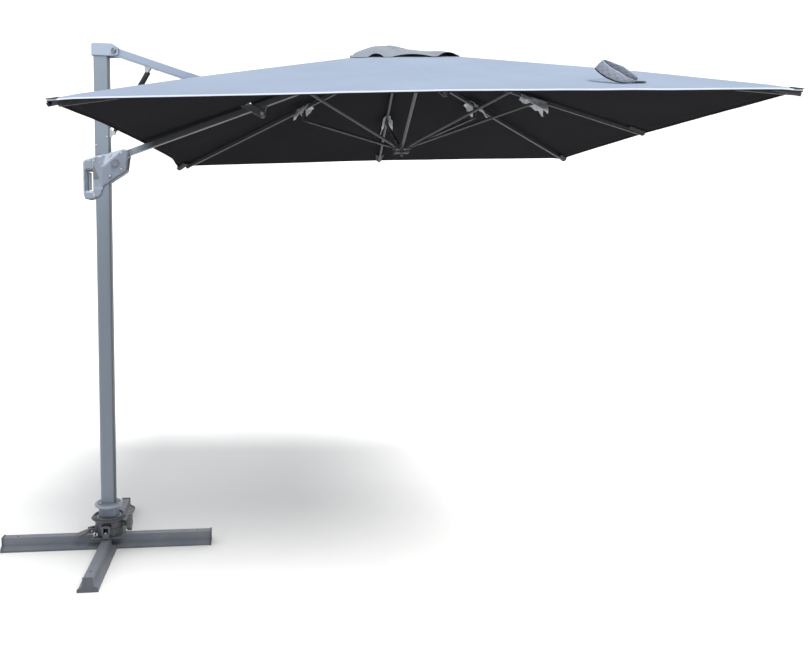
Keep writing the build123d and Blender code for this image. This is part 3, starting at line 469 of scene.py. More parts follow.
def arm_plate_finish():
    """The arm's coat, pale above the canopy and with painted shade below the canopy's height."""
    finish = Finish("arm_plate_paint", Specular_IOR_Level=0.4)
    height = finish.parts(finish.place())[2]
    cloud = finish.grain(11, 4, 0.65)
    # Painted shade: the plates turn dark below the canopy's height.
    shade = finish.ramp((height + cloud * 0.01 - SHADE_HEIGHT) * 40.0, (0, 0), (1, 1))
    colour = finish.blend(shade, (0.040, 0.043, 0.050), (0.28, 0.33, 0.42))
    return finish.lay(Base_Color=colour, Roughness=0.42 + cloud * 0.1,
                      Normal=finish.bump(finish.grain(620, 2, 0.5), 0.0003, 0.25)).material


coat_nodes(arm_plate_finish(), "upper_arm_plates")
coat_nodes(bright_zinc("bolt_zinc", (0.24, 0.27, 0.31), 0.34), "head_pivot_bolt", "slider_pivot_bolt")
coat_nodes(bright_zinc("rod_chrome", (0.8, 0.8, 0.8), 0.1), "gas_rod")
coat_nodes(moulded("gas_black", (0.018, 0.018, 0.02), roughness=0.28, spark=0.1), "gas_cylinder")
coat_nodes(bright_zinc("clevis_zinc", (0.66, 0.67, 0.68), 0.3), "gas_bracket_upper", "gas_bracket_lower")

gas_foot = (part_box("gas_cylinder")[0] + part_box("gas_cylinder")[1]) / 2
gas_head = (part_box("gas_bracket_upper")[0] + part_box("gas_bracket_upper")[1]) / 2
gas_line = (gas_head - gas_foot).normalized()
cover = bmesh.new()
GAS_COVER_R = 0.0125
GAS_COVER_LENGTH = 0.15
turned = gas_line.to_track_quat("Z", "Y").to_matrix()
rings_up = []
for radius, height in ((GAS_COVER_R - 0.002, 0.0), (GAS_COVER_R, 0.002), (GAS_COVER_R, 0.146),
                       (GAS_COVER_R - 0.003, 0.149), (0.005, GAS_COVER_LENGTH)):
    made = bmesh.ops.create_circle(cover, segments=28, radius=radius)["verts"]
    bmesh.ops.translate(cover, verts=made, vec=(0, 0, height))
    rings_up.append([edge for edge in cover.edges if all(vert in made for vert in edge.verts)])
for low_ring, high_ring in zip(rings_up, rings_up[1:]):
    bmesh.ops.bridge_loops(cover, edges=low_ring + high_ring)
bmesh.ops.rotate(cover, verts=cover.verts, cent=(0, 0, 0), matrix=turned)
bmesh.ops.translate(cover, verts=cover.verts, vec=gas_head - gas_line * (GAS_COVER_LENGTH + 0.012))
bmesh.ops.recalc_face_normals(cover, faces=cover.faces)
set_down("gas_rod_cover", cover, moulded("cover_black", (0.014, 0.014, 0.016), roughness=0.22, spark=0.05),
         "gas_rod")

bolt_low, bolt_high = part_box("head_pivot_bolt")
head_bolt = joint_place["canopy_fold"]
dome = bmesh.new()
for side, face in ((-1, bolt_low.y), (1, bolt_high.y)):
    made = bmesh.ops.create_uvsphere(dome, u_segments=32, v_segments=16, radius=DOME_R)["verts"]
    bmesh.ops.scale(dome, verts=made, vec=(1, 0.5, 1))
    bmesh.ops.translate(dome, verts=made, vec=(head_bolt.x, face, head_bolt.z))
set_down("head_bolt_domes", dome, bright_zinc("dome_zinc", (0.22, 0.25, 0.3), 0.32), "mast")

# ---- Lift handle: two bolted shells, screws and squeeze trigger ----
# Cast and painted shells with a raised faceted shoulder and a deep bevelled frame round the grip.
# They close round the mast on nylon bushes, and a sprung trigger in the grip lets them slide.
HANDLE_BLUE = (0.205, 0.24, 0.30)
TRIGGER_GREY = (0.22, 0.25, 0.31)
slide = joint_place["handle_pivot"]
shell_half = -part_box("slider_shell_near")[0].y
mast_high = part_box("mast_tube")[1]
mast_half_x = mast_high.x
mast_half_y = mast_high.y
SHELL_OUTLINE = [(-90, -52), (-90, 4), (-80, 15), (-22, 33), (51, 55), (106, 72), (117, 66), (124, 50),
                 (119, 9), (114, -32), (106, -42), (50, -80), (18, -104), (8, -114), (3, -130), (-2, -146),
                 (-8, -156), (-18, -162), (-58, -175), (-82, -170), (-90, -150)]
GRIP_HOLE = [(-71, -40), (-45, -40), (-45, -131), (-71, -131)]


def at_slide(point, y):
    return Vector((point[0] / 1000, y, slide.z + point[1] / 1000))


def handle_shell(side):
    """One shell: the outline as a plate, the grip let in, facets raised, edges rounded."""
    mesh = bmesh.new()
    outer = [mesh.verts.new(at_slide(point, 0)) for point in SHELL_OUTLINE]
    hole = [mesh.verts.new(at_slide(point, 0)) for point in GRIP_HOLE]
    rims = [mesh.edges.new(pair) for pair in zip(outer, outer[1:] + outer[:1])]
    rims += [mesh.edges.new(pair) for pair in zip(hole, hole[1:] + hole[:1])]
    bmesh.ops.triangle_fill(mesh, edges=rims, use_beauty=True)
    cut_low, cut_high = slide.z - 0.175, slide.z + 0.072
    for step in range(1, 28):
        height = cut_low + (cut_high - cut_low) * step / 28
        bmesh.ops.bisect_plane(mesh, geom=mesh.verts[:] + mesh.edges[:] + mesh.faces[:],
                               plane_co=(0, 0, height), plane_no=(0, 0, 1))
        across = -0.09 + 0.214 * step / 28
        bmesh.ops.bisect_plane(mesh, geom=mesh.verts[:] + mesh.edges[:] + mesh.faces[:],
                               plane_co=(across, 0, slide.z), plane_no=(1, 0, 0))
    skin = mesh.faces[:]
    raised = bmesh.ops.extrude_face_region(mesh, geom=skin)
    tops = [item for item in raised["geom"] if isinstance(item, bmesh.types.BMVert)]
    for vert in tops:
        vert.co.y = side * shell_height(vert.co.x * 1000, (vert.co.z - slide.z) * 1000)
    bmesh.ops.recalc_face_normals(mesh, faces=mesh.faces)
    return mesh


def edge_distance(x, z, outline):
    """Distance in mm from a point to an outline."""
    best = 1e9
    for (ax, az), (bx, bz) in zip(outline, outline[1:] + outline[:1]):
        dx, dz = bx - ax, bz - az
        share = max(0, min(1, ((x - ax) * dx + (z - az) * dz) / (dx * dx + dz * dz)))
        best = min(best, hypot(x - ax - dx * share, z - az - dz * share))
    return best


def above_line(x, z, start, end):
    """How far a point lies on the left of a line, in mm."""
    dx, dz = end[0] - start[0], end[1] - start[1]
    return ((z - start[1]) * dx - (x - start[0]) * dz) / hypot(dx, dz)


def smooth_step(value, low, high):
    share = max(0, min(1, (value - low) / (high - low)))
    return share * share * (3 - 2 * share)


def shell_height(x, z):
    """How far the shell stands off the handle's middle plane, in metres: tilted facets met at ridges."""
    body = shell_half * 1000
    in_grip = smooth_step(-x, 36, 46)
    tail = smooth_step(-z, 104, 130) * (1 - in_grip)
    right_of_left = above_line(x, z, (-21, 36), (4, -22))
    over_right = above_line(x, z, (4, -22), (109, 72))
    height = body - max(0.15 * max(0, -over_right), 0.24 * max(0, -right_of_left))
    height -= 0.30 * max(0, min(right_of_left, over_right))
    height = max(height, body - 11)
    height = height * (1 - tail) + (body - 9) * tail
    frame_gap = edge_distance(x, z, GRIP_HOLE)
    grip = body - 12 - 9.0 * (1 - smooth_step(frame_gap, 1, 10))
    height = height * (1 - in_grip) + grip * in_grip
    edge = edge_distance(x, z, SHELL_OUTLINE)
    height -= 5.0 * (1 - smooth_step(edge, 0, 5)) ** 2
    return height / 1000


def casing_finish():
    """Satin paint on the cast shells: painted light on what faces up, painted shade on what faces down, in corners
    and in the grip.
    """
    finish = Finish("handle_paint", Specular_IOR_Level=0.4)
    shut_in = finish.node("AmbientOcclusion", {"samples": 6}, {"Distance": 0.018}, out="AO")
    soft, bent = finish.softened(0.0015, samples=6)
    lean = finish.lean((-0.55, 0, 0.83))
    peel = finish.grain(800, 2, 0.5)
    cloud = finish.grain(18, 4, 0.65)
    edge = finish.ramp(bent, (0.008, 0), (0.1, 1)) * (0.4 + cloud * 0.6)
    plain = finish.blend(cloud, darker(HANDLE_BLUE, 0.94), darker(HANDLE_BLUE, 1.06))
    # Painted light on faces turned up and left; painted shade on faces turned down and right.
    faded = finish.blend(finish.ramp(lean, (0.04, 0), (0.24, 1)), plain, (0.36, 0.41, 0.49))
    under = finish.blend(finish.ramp(0 - lean, (0.03, 0), (0.6, 1)), faded, darker(HANDLE_BLUE, 0.28))
    # Painted shade: ambient occlusion darkens corners and the grip's recess.
    painted_shade = finish.blend(finish.ramp(shut_in, (0.35, 0.85), (0.9, 0)), under, darker(HANDLE_BLUE, 0.3))
    rubbed = finish.blend(edge * 0.7, painted_shade, (0.42, 0.47, 0.54))
    return finish.lay(Base_Color=rubbed, Roughness=0.36 + cloud * 0.14,
                      Normal=finish.bump(peel, 0.0003, 0.3, soft)).material


handle_paint = casing_finish()
for side, node in ((-1, "slider_shell_near"), (1, "slider_shell_far")):
    shell = handle_shell(side)
    piece = set_down("handle_" + node[7:], shell, handle_paint, "slider", smooth=False)
    cutter = bmesh.new()
    for size, middle in (((2 * mast_half_x + 0.001, 2 * mast_half_y + 0.001, 0.6), (0, 0, slide.z)),
                         ((0.30, 0.044, 0.20), (0.044 + 0.15, 0, slide.z + 0.075))):
        made = bmesh.ops.create_cube(cutter, size=1)["verts"]
        bmesh.ops.scale(cutter, verts=made, vec=size)
        bmesh.ops.translate(cutter, verts=made, vec=middle)
    cutter_data = bpy.data.meshes.new("mast_passage")
    cutter.to_mesh(cutter_data)
    cutter.free()
    passage = bpy.data.objects.new("mast_passage", cutter_data)
    bpy.context.scene.collection.objects.link(passage)
    cut = piece.modifiers.new("passage", "BOOLEAN")
    cut.operation = "DIFFERENCE"
    cut.solver = "EXACT"
    cut.object = passage
    bpy.context.view_layer.update()
    cut_mesh = bpy.data.meshes.new_from_object(piece.evaluated_get(bpy.context.evaluated_depsgraph_get()))
    piece.modifiers.clear()
    piece.data = cut_mesh
    bpy.data.objects.remove(passage)
    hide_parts(node)

coat_nodes(bright_zinc("screw_zinc", (0.86, 0.87, 0.88), 0.2), "slider_screws")
coat_nodes(moulded("trigger_plastic", TRIGGER_GREY, roughness=0.45), "release_trigger")
coat_nodes(moulded("nylon", (0.55, 0.55, 0.52), roughness=0.35), "slider_bushes", "elbow_spacers")
coat_nodes(powder_coat("carriage_paint", (0.12, 0.13, 0.15)), "slider_carriage")

# ---- Lower arm and its fittings ----
# A rectangular aluminium tube in the mast's paint, from the sliding handle up to the crown.
# Cast fittings at its ends take the pivots, and a bracket at its middle takes the elbow.
ARM_SHADED = (0.028, 0.030, 0.035)


def lower_arm_finish():
    """The mast's coat, pale outside the canopy and with painted shade where it runs under the canopy."""
    finish = Finish("lower_arm_paint", Specular_IOR_Level=0.35)
    along = finish.parts(finish.place())[0]
    cloud = finish.grain(11, 4, 0.65)
    # Painted shade: the arm turns dark where it passes under the canopy.
    shade = finish.ramp(along + cloud * 0.05, (0.20, 0), (0.27, 1))
    streak = finish.grain(60, 3, 0.6, stretch=(0.05, 1, 1))
    soft, bent = finish.softened(0.002)
    edge = finish.ramp(bent, (0.02, 0), (0.2, 1)) * cloud * 0.5
    pale = finish.blend(streak, darker(MAST_BLUE, 1.0), darker(MAST_BLUE, 1.2))
    toned = finish.blend(shade, pale, ARM_SHADED)
    rubbed = finish.blend(edge, toned, (0.22, 0.24, 0.27))
    peel = finish.grain(620, 2, 0.5)
    return finish.lay(Base_Color=rubbed, Roughness=0.42 + cloud * 0.12,
                      Normal=finish.bump(peel, 0.0003, 0.25, soft)).material


coat_nodes(lower_arm_finish(), "lower_arm_tube")
coat_nodes(powder_coat("fitting_paint", (0.05, 0.053, 0.06), grime=-0.3), "elbow_bracket", "crown_fitting")
coat_nodes(powder_coat("slider_fitting_paint", (0.16, 0.18, 0.21)), "slider_fitting")

# ---- Crown, ribs, struts and lower hub ----
# Dark grey steel ribs and round struts pinned between a plastic crown and a lower hub.
# The paint is paler along the ribs' upper corners, partly rubbed and partly a painted edge highlight, and the hub
# carries a cross bar.
RIB_GREY = (0.024, 0.025, 0.028)
RIB_NAMES = ["right", "far_right", "far", "far_left", "near_left", "near", "near_right"]
rib_paint = powder_coat("rib_paint", RIB_GREY, tooth=0.5, roughness=0.42, wear_and_highlight=0.35, grime=-0.33)
coat_nodes(rib_paint, *["rib_" + name for name in RIB_NAMES], *["strut_" + name for name in RIB_NAMES])
coat_nodes(moulded("crown_plastic", (0.04, 0.041, 0.045), roughness=0.46), "crown_hub", "vent_post",
           "lower_hub", "hub_handle")

# ---- Canopy: seven rib panels and two panels beside the arm ----
# Woven polyester, light steel blue outside with a near-black coating inside, cut in gores,
# joined by felled seams over the ribs and kept taut by the rib tips in sewn corner pockets.
CLOTH_BLUE = (0.262, 0.322, 0.425)
COATING_BLACK = (0.0165, 0.0165, 0.0182)
CANOPY_HALF = 1.25
CLOTH_THICKNESS = 0.0012
APEX = 0.048
SLOPE = 0.32
VENT_OPENING = 0.20
GORE_SAG = 0.013
HEM_SCALLOP = 0.003
CORNER_DROP = 0.010
ARM_SLOT = (0.735, 0.775)
ARM_SLOT_HALF = 0.027
PANEL_ROWS = 44
PANEL_COLUMNS = 48
STITCH = 0.006
# Painted highlight on the hem's upper fold, with painted shade on the fold under it.
HEM_HIGHLIGHT_WHITE = (0.56, 0.62, 0.72)

pin_right = joint_place["rib_hinge_right"]
pin_arm = joint_place["crown_pivot"]
crown_middle = (pin_right + pin_arm) / 2
crown_across = (pin_right - pin_arm).normalized()
crown_up = Vector((-crown_across.z, 0, crown_across.x))
crown_frame = Matrix((crown_across, Vector((0, 1, 0)), crown_up)).transposed().to_4x4()
crown_frame.translation = crown_middle


CORNER_PULL = {(-1, -1): (-0.024, 0.0, -0.004), (1, -1): (-0.008, 0.0, -0.006),
               (-1, 1): (-0.045, 0.0, -0.014), (1, 1): (0.0, 0.0, -0.008)}


def on_canopy(x, y):
    """Where the taut cloth lies over a plan point, in the crown's own frame."""
    reach = max(abs(x), abs(y), 1e-6)
    share = min(abs(x), abs(y)) / reach
    out = reach / CANOPY_HALF
    between = 4 * share * (1 - share)
    spread = smooth_step(out, 0.12, 0.6)
    ripple = noise.noise(Vector((x * 3.1, y * 3.1, 1.7))) * 0.005
    ripple += noise.noise(Vector((x * 9.0, y * 9.0, 4.2))) * 0.0022
    ripple += noise.noise(Vector((x * 3.0 + y * 2.0, (x - y) * 14.0, 7.7))) * 0.0012
    hem = smooth_step(out, 0.6, 1)
    sag = GORE_SAG * between * spread * (1 - 0.85 * hem)
    corner = CORNER_DROP * share ** 2 * hem
    height = APEX - SLOPE * reach - sag - corner + ripple * between * (1.2 - 0.9 * hem) + 0.002
    pull = 1 - HEM_SCALLOP * between * smooth_step(out, 0.5, 1) / CANOPY_HALF
    dx, dy, dz = CORNER_PULL[(1 if x > 0 else -1, 1 if y > 0 else -1)]
    loose = smooth_step(share, 0.55, 1) * smooth_step(out, 0.55, 1)
    tip = smooth_step(share, 0.93, 1) * smooth_step(out, 0.93, 1)
    return Vector((x * pull + dx * loose, y * pull + dy * loose, height + dz * tip))


RIB_TURNS = dict(zip(RIB_NAMES, (0, 45, 90, 135, 225, 270, 315)))


def rib_axes(azimuth):
    """A rib's outward and sideways directions in the world."""
    turn = radians(azimuth)
    return [crown_frame.to_3x3() @ Vector(axis) for axis in ((cos(turn), sin(turn), 0), (-sin(turn), cos(turn), 0))]


def weave(finish, across, along, threads):
    """Plain weave from two lengths of cloth in metres: over-and-under threads."""
    warp = finish.maths("SINE", across * (2 * pi * threads))
    weft = finish.maths("SINE", along * (2 * pi * threads))
    return (warp * weft) * 0.5 + 0.5


def cloth_finish(name, colour, dark_side=False):
    """Woven polyester with seam folds, twin stitch lines, faded patches and a rolled hem, its upper fold painted
    pale as a highlight and its lower fold painted dark as shade.
    """
    finish = Finish(name, Specular_IOR_Level=0.0 if dark_side else 0.1,
                    Sheen_Weight=0.0 if dark_side else 0.08, Sheen_Roughness=0.5)
    across, along = finish.parts(finish.node("UVMap", {"uv_map": "thread"}))[:2]
    rib_side, from_hem = finish.parts(finish.node("UVMap", {"uv_map": "seam"}))[:2]
    from_rib = abs(rib_side)
    threads = weave(finish, across, along, 900.0)
    slub = finish.grain(420, 2, 0.6, stretch=(1, 0.12, 1))
    fade = finish.grain(1.6, 4, 0.6)
    crease = finish.grain(7.0, 5, 0.6, stretch=(1, 0.35, 1))
    felled = (from_rib < 0.009) * 1.0
    hemmed = (from_hem < 0.022) * 1.0
    dash = (finish.maths("FRACT", from_hem * 180.0) < 0.62) * 1.0
    dash_side = (finish.maths("FRACT", (across + along) * 180.0) < 0.62) * 1.0
    rib_stitch = (abs(from_rib - STITCH) < 0.0008) * dash
    hem_stitch = (abs(from_hem - 0.018) < 0.0008) * dash_side
    stitches = finish.maths("MAXIMUM", rib_stitch, hem_stitch)
    doubled = finish.maths("MAXIMUM", felled, hemmed)
    plain = finish.blend(finish.ramp(fade, (0.3, 0), (0.7, 1)), darker(colour, 0.93), darker(colour, 1.05))
    slubbed = finish.blend(slub * 0.5 + threads * 0.2, darker_feed(finish, plain, 0.95), plain)
    seamed = finish.blend(doubled * 0.35, slubbed, darker(colour, 1.25 if dark_side else 1.10))
    sewn = finish.blend(stitches * 0.8, seamed, darker(colour, 2.0 if dark_side else 0.78))
    if not dark_side:
        # Painted highlight on the upper hem fold, painted shade on the lower one.
        hem_highlight = finish.blend((from_hem < -0.0002) * 1.0, sewn, HEM_HIGHLIGHT_WHITE)
        sewn = finish.blend((from_hem < -0.0052) * 1.0, hem_highlight, (0.012, 0.012, 0.013))
    relief = threads * 0.12 + doubled * 0.9 - stitches * 0.5 + crease * 0.6
    return finish.lay(Base_Color=sewn, Roughness=(0.62 if dark_side else 0.78) + slub * 0.12,
                      Normal=finish.bump(relief, 0.0014, 0.5)).material


def darker_feed(finish, colour, share):
    """A linked colour, dimmed evenly."""
    return finish.blend(1 - share, colour, (0.0, 0.0, 0.0))


canopy_top = cloth_finish("canopy_cloth_top", CLOTH_BLUE)
canopy_under = cloth_finish("canopy_coating", COATING_BLACK, dark_side=True)


def panel_point(azimuth, low, high, u, v):
    """Plan position of a panel's point: u from the vent to the hem, v across its share of the edge."""
    reach = VENT_OPENING + (CANOPY_HALF - VENT_OPENING) * u
    share = low + (high - low) * v
    if azimuth % 90 == 0:
        x, y = reach, reach * share
        turn = radians(azimuth)
    else:
        if share < 0:
            x, y = reach, reach * (1 + share)
        else:
            x, y = reach * (1 - share), reach
        turn = radians(azimuth - 45)
    return x * cos(turn) - y * sin(turn), x * sin(turn) + y * cos(turn)


def map_seams(mesh, plan, azimuth, half, stretch):
    """Lays a gore's thread map, and its distances from the rib's seam and from the hem."""
    thread = mesh.loops.layers.uv.new("thread")
    seam = mesh.loops.layers.uv.new("seam")
    for face in mesh.faces:
        for loop in face.loops:
            side, reach = sorted(abs(part) for part in plan[loop.vert.index])
            loop[thread].uv = (side, reach * stretch)
            loop[seam].uv = (side if azimuth % 90 == 0 else (reach - side) * 0.7071, half - reach)
    return seam


def sew(name, mesh, cloth, body):
    """Backs a gore with the dark coating and sets it on the body it rides on."""
    if crown_up.dot(sum((face.normal for face in mesh.faces), Vector())) < 0:
        bmesh.ops.reverse_faces(mesh, faces=mesh.faces)
    area = sum(face.calc_area() for face in mesh.faces)
    piece = set_down(name, mesh, [cloth, canopy_under], body)
    thick = thicken(piece, CLOTH_THICKNESS, -1)
    thick.material_offset = 1
    thick.use_rim = False
    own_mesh(piece)
    return piece, area


def thicken(piece, thickness, offset):
    """Gives a cloth piece its thickness."""
    thick = piece.modifiers.new("cloth", "SOLIDIFY")
    thick.thickness = thickness
    thick.offset = offset
    return thick


def canopy_panel(name, azimuth, low, high, body, anchor):
    """Cuts one gore, sags it, folds its hem down and backs it with the dark coating."""
    mesh = bmesh.new()
    bmesh.ops.create_grid(mesh, x_segments=PANEL_ROWS, y_segments=PANEL_COLUMNS, size=0.5)
    plan = {}
    for vert in mesh.verts:
        u, v = vert.co.x + 0.5, vert.co.y + 0.5
        x, y = panel_point(azimuth, low, high, u, v)
        plan[vert.index] = (x, y)
    hem_edges = [edge for edge in mesh.edges if all(vert.co.x > 0.4999 for vert in edge.verts)]
    for vert in mesh.verts:
        vert.co = crown_frame @ on_canopy(*plan[vert.index])
    mesh.verts.index_update()
    seam = map_seams(mesh, plan, azimuth, CANOPY_HALF, (1 + SLOPE ** 2) ** 0.5)
    if azimuth == 180:
        slot = [face for face in mesh.faces if in_arm_slot(face, plan)]
        bmesh.ops.delete(mesh, geom=slot, context="FACES")
    for drop, gap in ((0.0048, -0.0048), (0.0042, -0.009)):
        folded = bmesh.ops.extrude_edge_only(mesh, edges=hem_edges)
        hem = [item for item in folded["geom"] if isinstance(item, bmesh.types.BMVert)]
        hem_edges = [item for item in folded["geom"] if isinstance(item, bmesh.types.BMEdge)
                     and all(vert in hem for vert in item.verts)]
        bmesh.ops.translate(mesh, verts=hem, vec=crown_up * -drop)
        for vert in hem:
            for loop in vert.link_loops:
                loop[seam].uv.y = gap
    return sew(name, mesh, canopy_top, body)


def in_arm_slot(face, plan):
    """True for the cloth left out where the arm passes."""
    corners = [plan[vert.index] for vert in face.verts]
    x = sum(corner[0] for corner in corners) / len(corners)
    y = sum(corner[1] for corner in corners) / len(corners)
    return ARM_SLOT[0] < -x < ARM_SLOT[1] and abs(y) < ARM_SLOT_HALF


for name, azimuth in RIB_TURNS.items():
    piece, area = canopy_panel("canopy_panel_" + name, azimuth, -0.5, 0.5, "rib_" + name,
                               joint_place["rib_hinge_" + name])
for name, low, high, side in (("near", 0.0, 0.5, -1), ("far", -0.5, 0.0, 1)):
    piece, area = canopy_panel("canopy_panel_arm_" + name, 180, low, high, "lower_arm",
                               (0, side * 0.05, 0))
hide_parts("canopy")

# ---- Rib tip pockets ----
# Small pockets of doubled black webbing sewn under the hem, one over each rib's end plug.
# The rib's tip pushes into the pocket and keeps the cloth taut.
POCKET_LENGTH = 0.085
POCKET_HALF = 0.021


def webbing_finish():
    """Black webbing: ribbed weave and a worn, slightly shiny fold."""
    finish = Finish("pocket_webbing", Specular_IOR_Level=0.3)
    ribs = finish.grain(900, 2, 0.5, stretch=(1, 0.1, 0.1))
    rubbed = finish.grain(60, 4, 0.7)
    colour = finish.blend(rubbed, (0.012, 0.012, 0.013), (0.035, 0.036, 0.04))
    return finish.lay(Base_Color=colour, Roughness=0.6 + ribs * 0.2, Normal=finish.bump(ribs, 0.0006, 0.5)).material


pocket_webbing = webbing_finish()
for name, azimuth in RIB_TURNS.items():
    turn = radians(azimuth)
    tip_r = 1.222 if azimuth % 90 == 0 else 1.742
    pocket = bmesh.new()
    bmesh.ops.create_grid(pocket, x_segments=10, y_segments=8, size=0.5)
    for vert in pocket.verts:
        along, across = vert.co.x + 0.5, vert.co.y * 2
        radius = tip_r + 0.018 - POCKET_LENGTH * along
        half = POCKET_HALF * (1 + 0.35 * along)
        arch = (1 - across ** 2) * 0.017 * (1 - 0.3 * along)
        x = radius * cos(turn) - half * across * sin(turn)
        y = radius * sin(turn) + half * across * cos(turn)
        vert.co = crown_frame @ (on_canopy(x, y) - Vector((0, 0, 0.006 + arch)))
    if azimuth % 90:
        patch = bmesh.ops.create_grid(pocket, x_segments=8, y_segments=8, size=0.5)["verts"]
        for vert in patch:
            x = (CANOPY_HALF + 0.003 - 0.034 * (vert.co.x + 0.5)) * (1 if cos(turn) > 0 else -1)
            y = (CANOPY_HALF + 0.003 - 0.034 * (vert.co.y + 0.5)) * (1 if sin(turn) > 0 else -1)
            edge = smooth_step(max(vert.co.x, vert.co.y) + 0.5, 0.8, 1)
            vert.co = crown_frame @ (on_canopy(x, y) + Vector((0, 0, 0.0022 - 0.001 * edge)))
    bmesh.ops.recalc_face_normals(pocket, faces=pocket.faces)
    piece = set_down("rib_pocket_" + name, pocket, pocket_webbing, "rib_" + name)
    thicken(piece, 0.0016, -1)

# ---- Joint guards ----
# Loose sleeves of light grey cloth wrapped over each strut's joint on its rib,
# crumpled and tied, so that the brackets don't rub through the canopy.
GUARD_GREY = (0.40, 0.42, 0.45)
GUARD_SEED = 7


def guard_finish():
    """Thin unlined cloth: crumples, fuzzy weave, and colour darker in the crumples' hollows and lighter on their
    crests.
    """
    finish = Finish("guard_cloth", Specular_IOR_Level=0.15)
    crumple = finish.grain(38, 6, 0.65)
    threads = finish.grain(1500, 2, 0.5)
    # Colour darker in the crumples' hollows and lighter on their crests.
    colour = finish.blend(finish.ramp(crumple, (0.3, 0), (0.7, 1)), darker(GUARD_GREY, 0.62),
                          darker(GUARD_GREY, 1.35))
    return finish.lay(Base_Color=colour, Roughness=0.8 + threads * 0.1,
                      Normal=finish.bump(crumple, 0.004, 0.7)).material


guard_cloth = guard_finish()
noise.seed_set(GUARD_SEED)
guard_sizes = {"right": (0.13, 0.045), "far_right": (0.12, 0.05), "far": (0.10, 0.035),
               "far_left": (0.10, 0.04), "near_left": (0.24, 0.075), "near": (0.09, 0.03),
               "near_right": (0.17, 0.07)}
for order, (name, azimuth) in enumerate(RIB_TURNS.items()):
    length, half = guard_sizes[name]
    outward, tangent = rib_axes(azimuth)
    joint = joint_place["strut_hinge_" + name] + crown_up * (0.056 if azimuth % 90 else 0.006)
    guard = bmesh.new()
    bmesh.ops.create_grid(guard, x_segments=30, y_segments=26, size=0.5)
    for vert in guard.verts:
        along, lap = vert.co.x * 2, vert.co.y * 2
        flap = smooth_step(abs(lap), 0.35, 1)
        wide = 0.011 + (half - 0.011) * flap * (0.75 + 0.25 * along)
        side = wide * (1 if lap > 0 else -1) * smooth_step(abs(lap), 0, 0.3)
        hang = 0.012 + 0.030 * flap + 0.02 * flap * along
        crumple = noise.noise_vector(Vector((along * 2.2, lap * 2.2, order * 7.3))) * 0.010
        crumple += noise.noise_vector(Vector((along * 6.0, lap * 6.0, order * 3.1))) * 0.004
        keep_top = smooth_step(abs(lap), 0.1, 0.6)
        slope = 0.32 if azimuth % 90 == 0 else 0.2197
        vert.co = (joint + outward * (along * length / 2) + tangent * side
                   + crown_up * (0.018 - slope * along * length / 2 - hang * abs(lap))
                   + crumple * (0.35 + 0.65 * keep_top))
    bmesh.ops.recalc_face_normals(guard, faces=guard.faces)
    piece = set_down("joint_guard_" + name, guard, guard_cloth, "rib_" + name)
    thicken(piece, 0.0012, -1)

# ---- Vent flap ----
# A smaller square of the canopy's cloth sewn over the vent at a few points only,
# so that wind lifts its hem in arches; it is slack, with its peak pulled to one side.
FLAP_HALF = 0.25
FLAP_PEAK = Vector((-0.052, -0.02, 0.072))


def flap_lift(side):
    """How far the hem stands off the canopy, from -1 to 1 along one edge."""
    lift = 0
    for low, high, rise in ((-0.68, -0.40, 0.016), (-0.25, 0.48, 0.012), (0.59, 0.97, 0.019)):
        if low < side < high:
            lift = rise * max(0, sin(pi * (side - low) / (high - low))) ** 0.8
    return lift


def flap_point(x, y):
    """The slack flap's height over the crown's plane."""
    reach = max(abs(x), abs(y), 1e-6)
    out = reach / FLAP_HALF
    along = (x if abs(y) >= abs(x) else y) / reach
    if abs(x) > abs(y):
        along = -along
    hem = APEX - SLOPE * FLAP_HALF + 0.004 + flap_lift(along) * smooth_step(out, 0.45, 1)
    wide = FLAP_HALF - FLAP_PEAK.x if x > FLAP_PEAK.x else FLAP_HALF + FLAP_PEAK.x
    deep = FLAP_HALF - FLAP_PEAK.y if y > FLAP_PEAK.y else FLAP_HALF + FLAP_PEAK.y
    gap = max(abs(x - FLAP_PEAK.x) / wide, abs(y - FLAP_PEAK.y) / deep)
    bow = 1.0 + 0.6 * smooth_step(FLAP_PEAK.x - x, -0.03, 0.08)
    fold = sin(atan2(y - FLAP_PEAK.y, x - FLAP_PEAK.x) * 6 + 0.9) * 0.0035 * gap * (1 - gap) * 4
    soft = noise.noise(Vector((x * 13, y * 13, 2.2))) * 0.005 * (1 - gap)
    low = APEX - SLOPE * FLAP_HALF + 0.004
    tent = low + (FLAP_PEAK.z - low) * (1 - min(1, gap) ** bow)
    return max(tent + fold + soft, APEX - SLOPE * reach + 0.004) * (1 - smooth_step(out, 0.9, 1)) + \
        hem * smooth_step(out, 0.9, 1) + flap_lift(along) * smooth_step(out, 0.45, 1) * \
        (1 - smooth_step(out, 0.9, 1))


def flap_strip(name, azimuth, low, high, body):
    """One gore of the vent flap."""
    mesh = bmesh.new()
    bmesh.ops.create_grid(mesh, x_segments=20, y_segments=30, size=0.5)
    plan = {}
    scale = FLAP_HALF / CANOPY_HALF
    for vert in mesh.verts:
        u, v = vert.co.x + 0.5, vert.co.y + 0.5
        full = panel_point(azimuth, low, high, 1.0, v)
        inner = 0.16
        x, y = full[0] * scale * (inner + (1 - inner) * u), full[1] * scale * (inner + (1 - inner) * u)
        plan[vert.index] = (x, y)
        vert.co = crown_frame @ Vector((x, y, flap_point(x, y)))
    map_seams(mesh, plan, azimuth, FLAP_HALF, 1)
    return sew(name, mesh, flap_top, body)


flap_top = cloth_finish("flap_cloth_top", (0.235, 0.265, 0.31))
for name, azimuth in RIB_TURNS.items():
    piece, area = flap_strip("vent_flap_" + name, azimuth, -0.5, 0.5, "rib_" + name)
piece, area = flap_strip("vent_flap_arm", 180, -0.5, 0.5, "lower_arm")
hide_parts("canopy_vent")

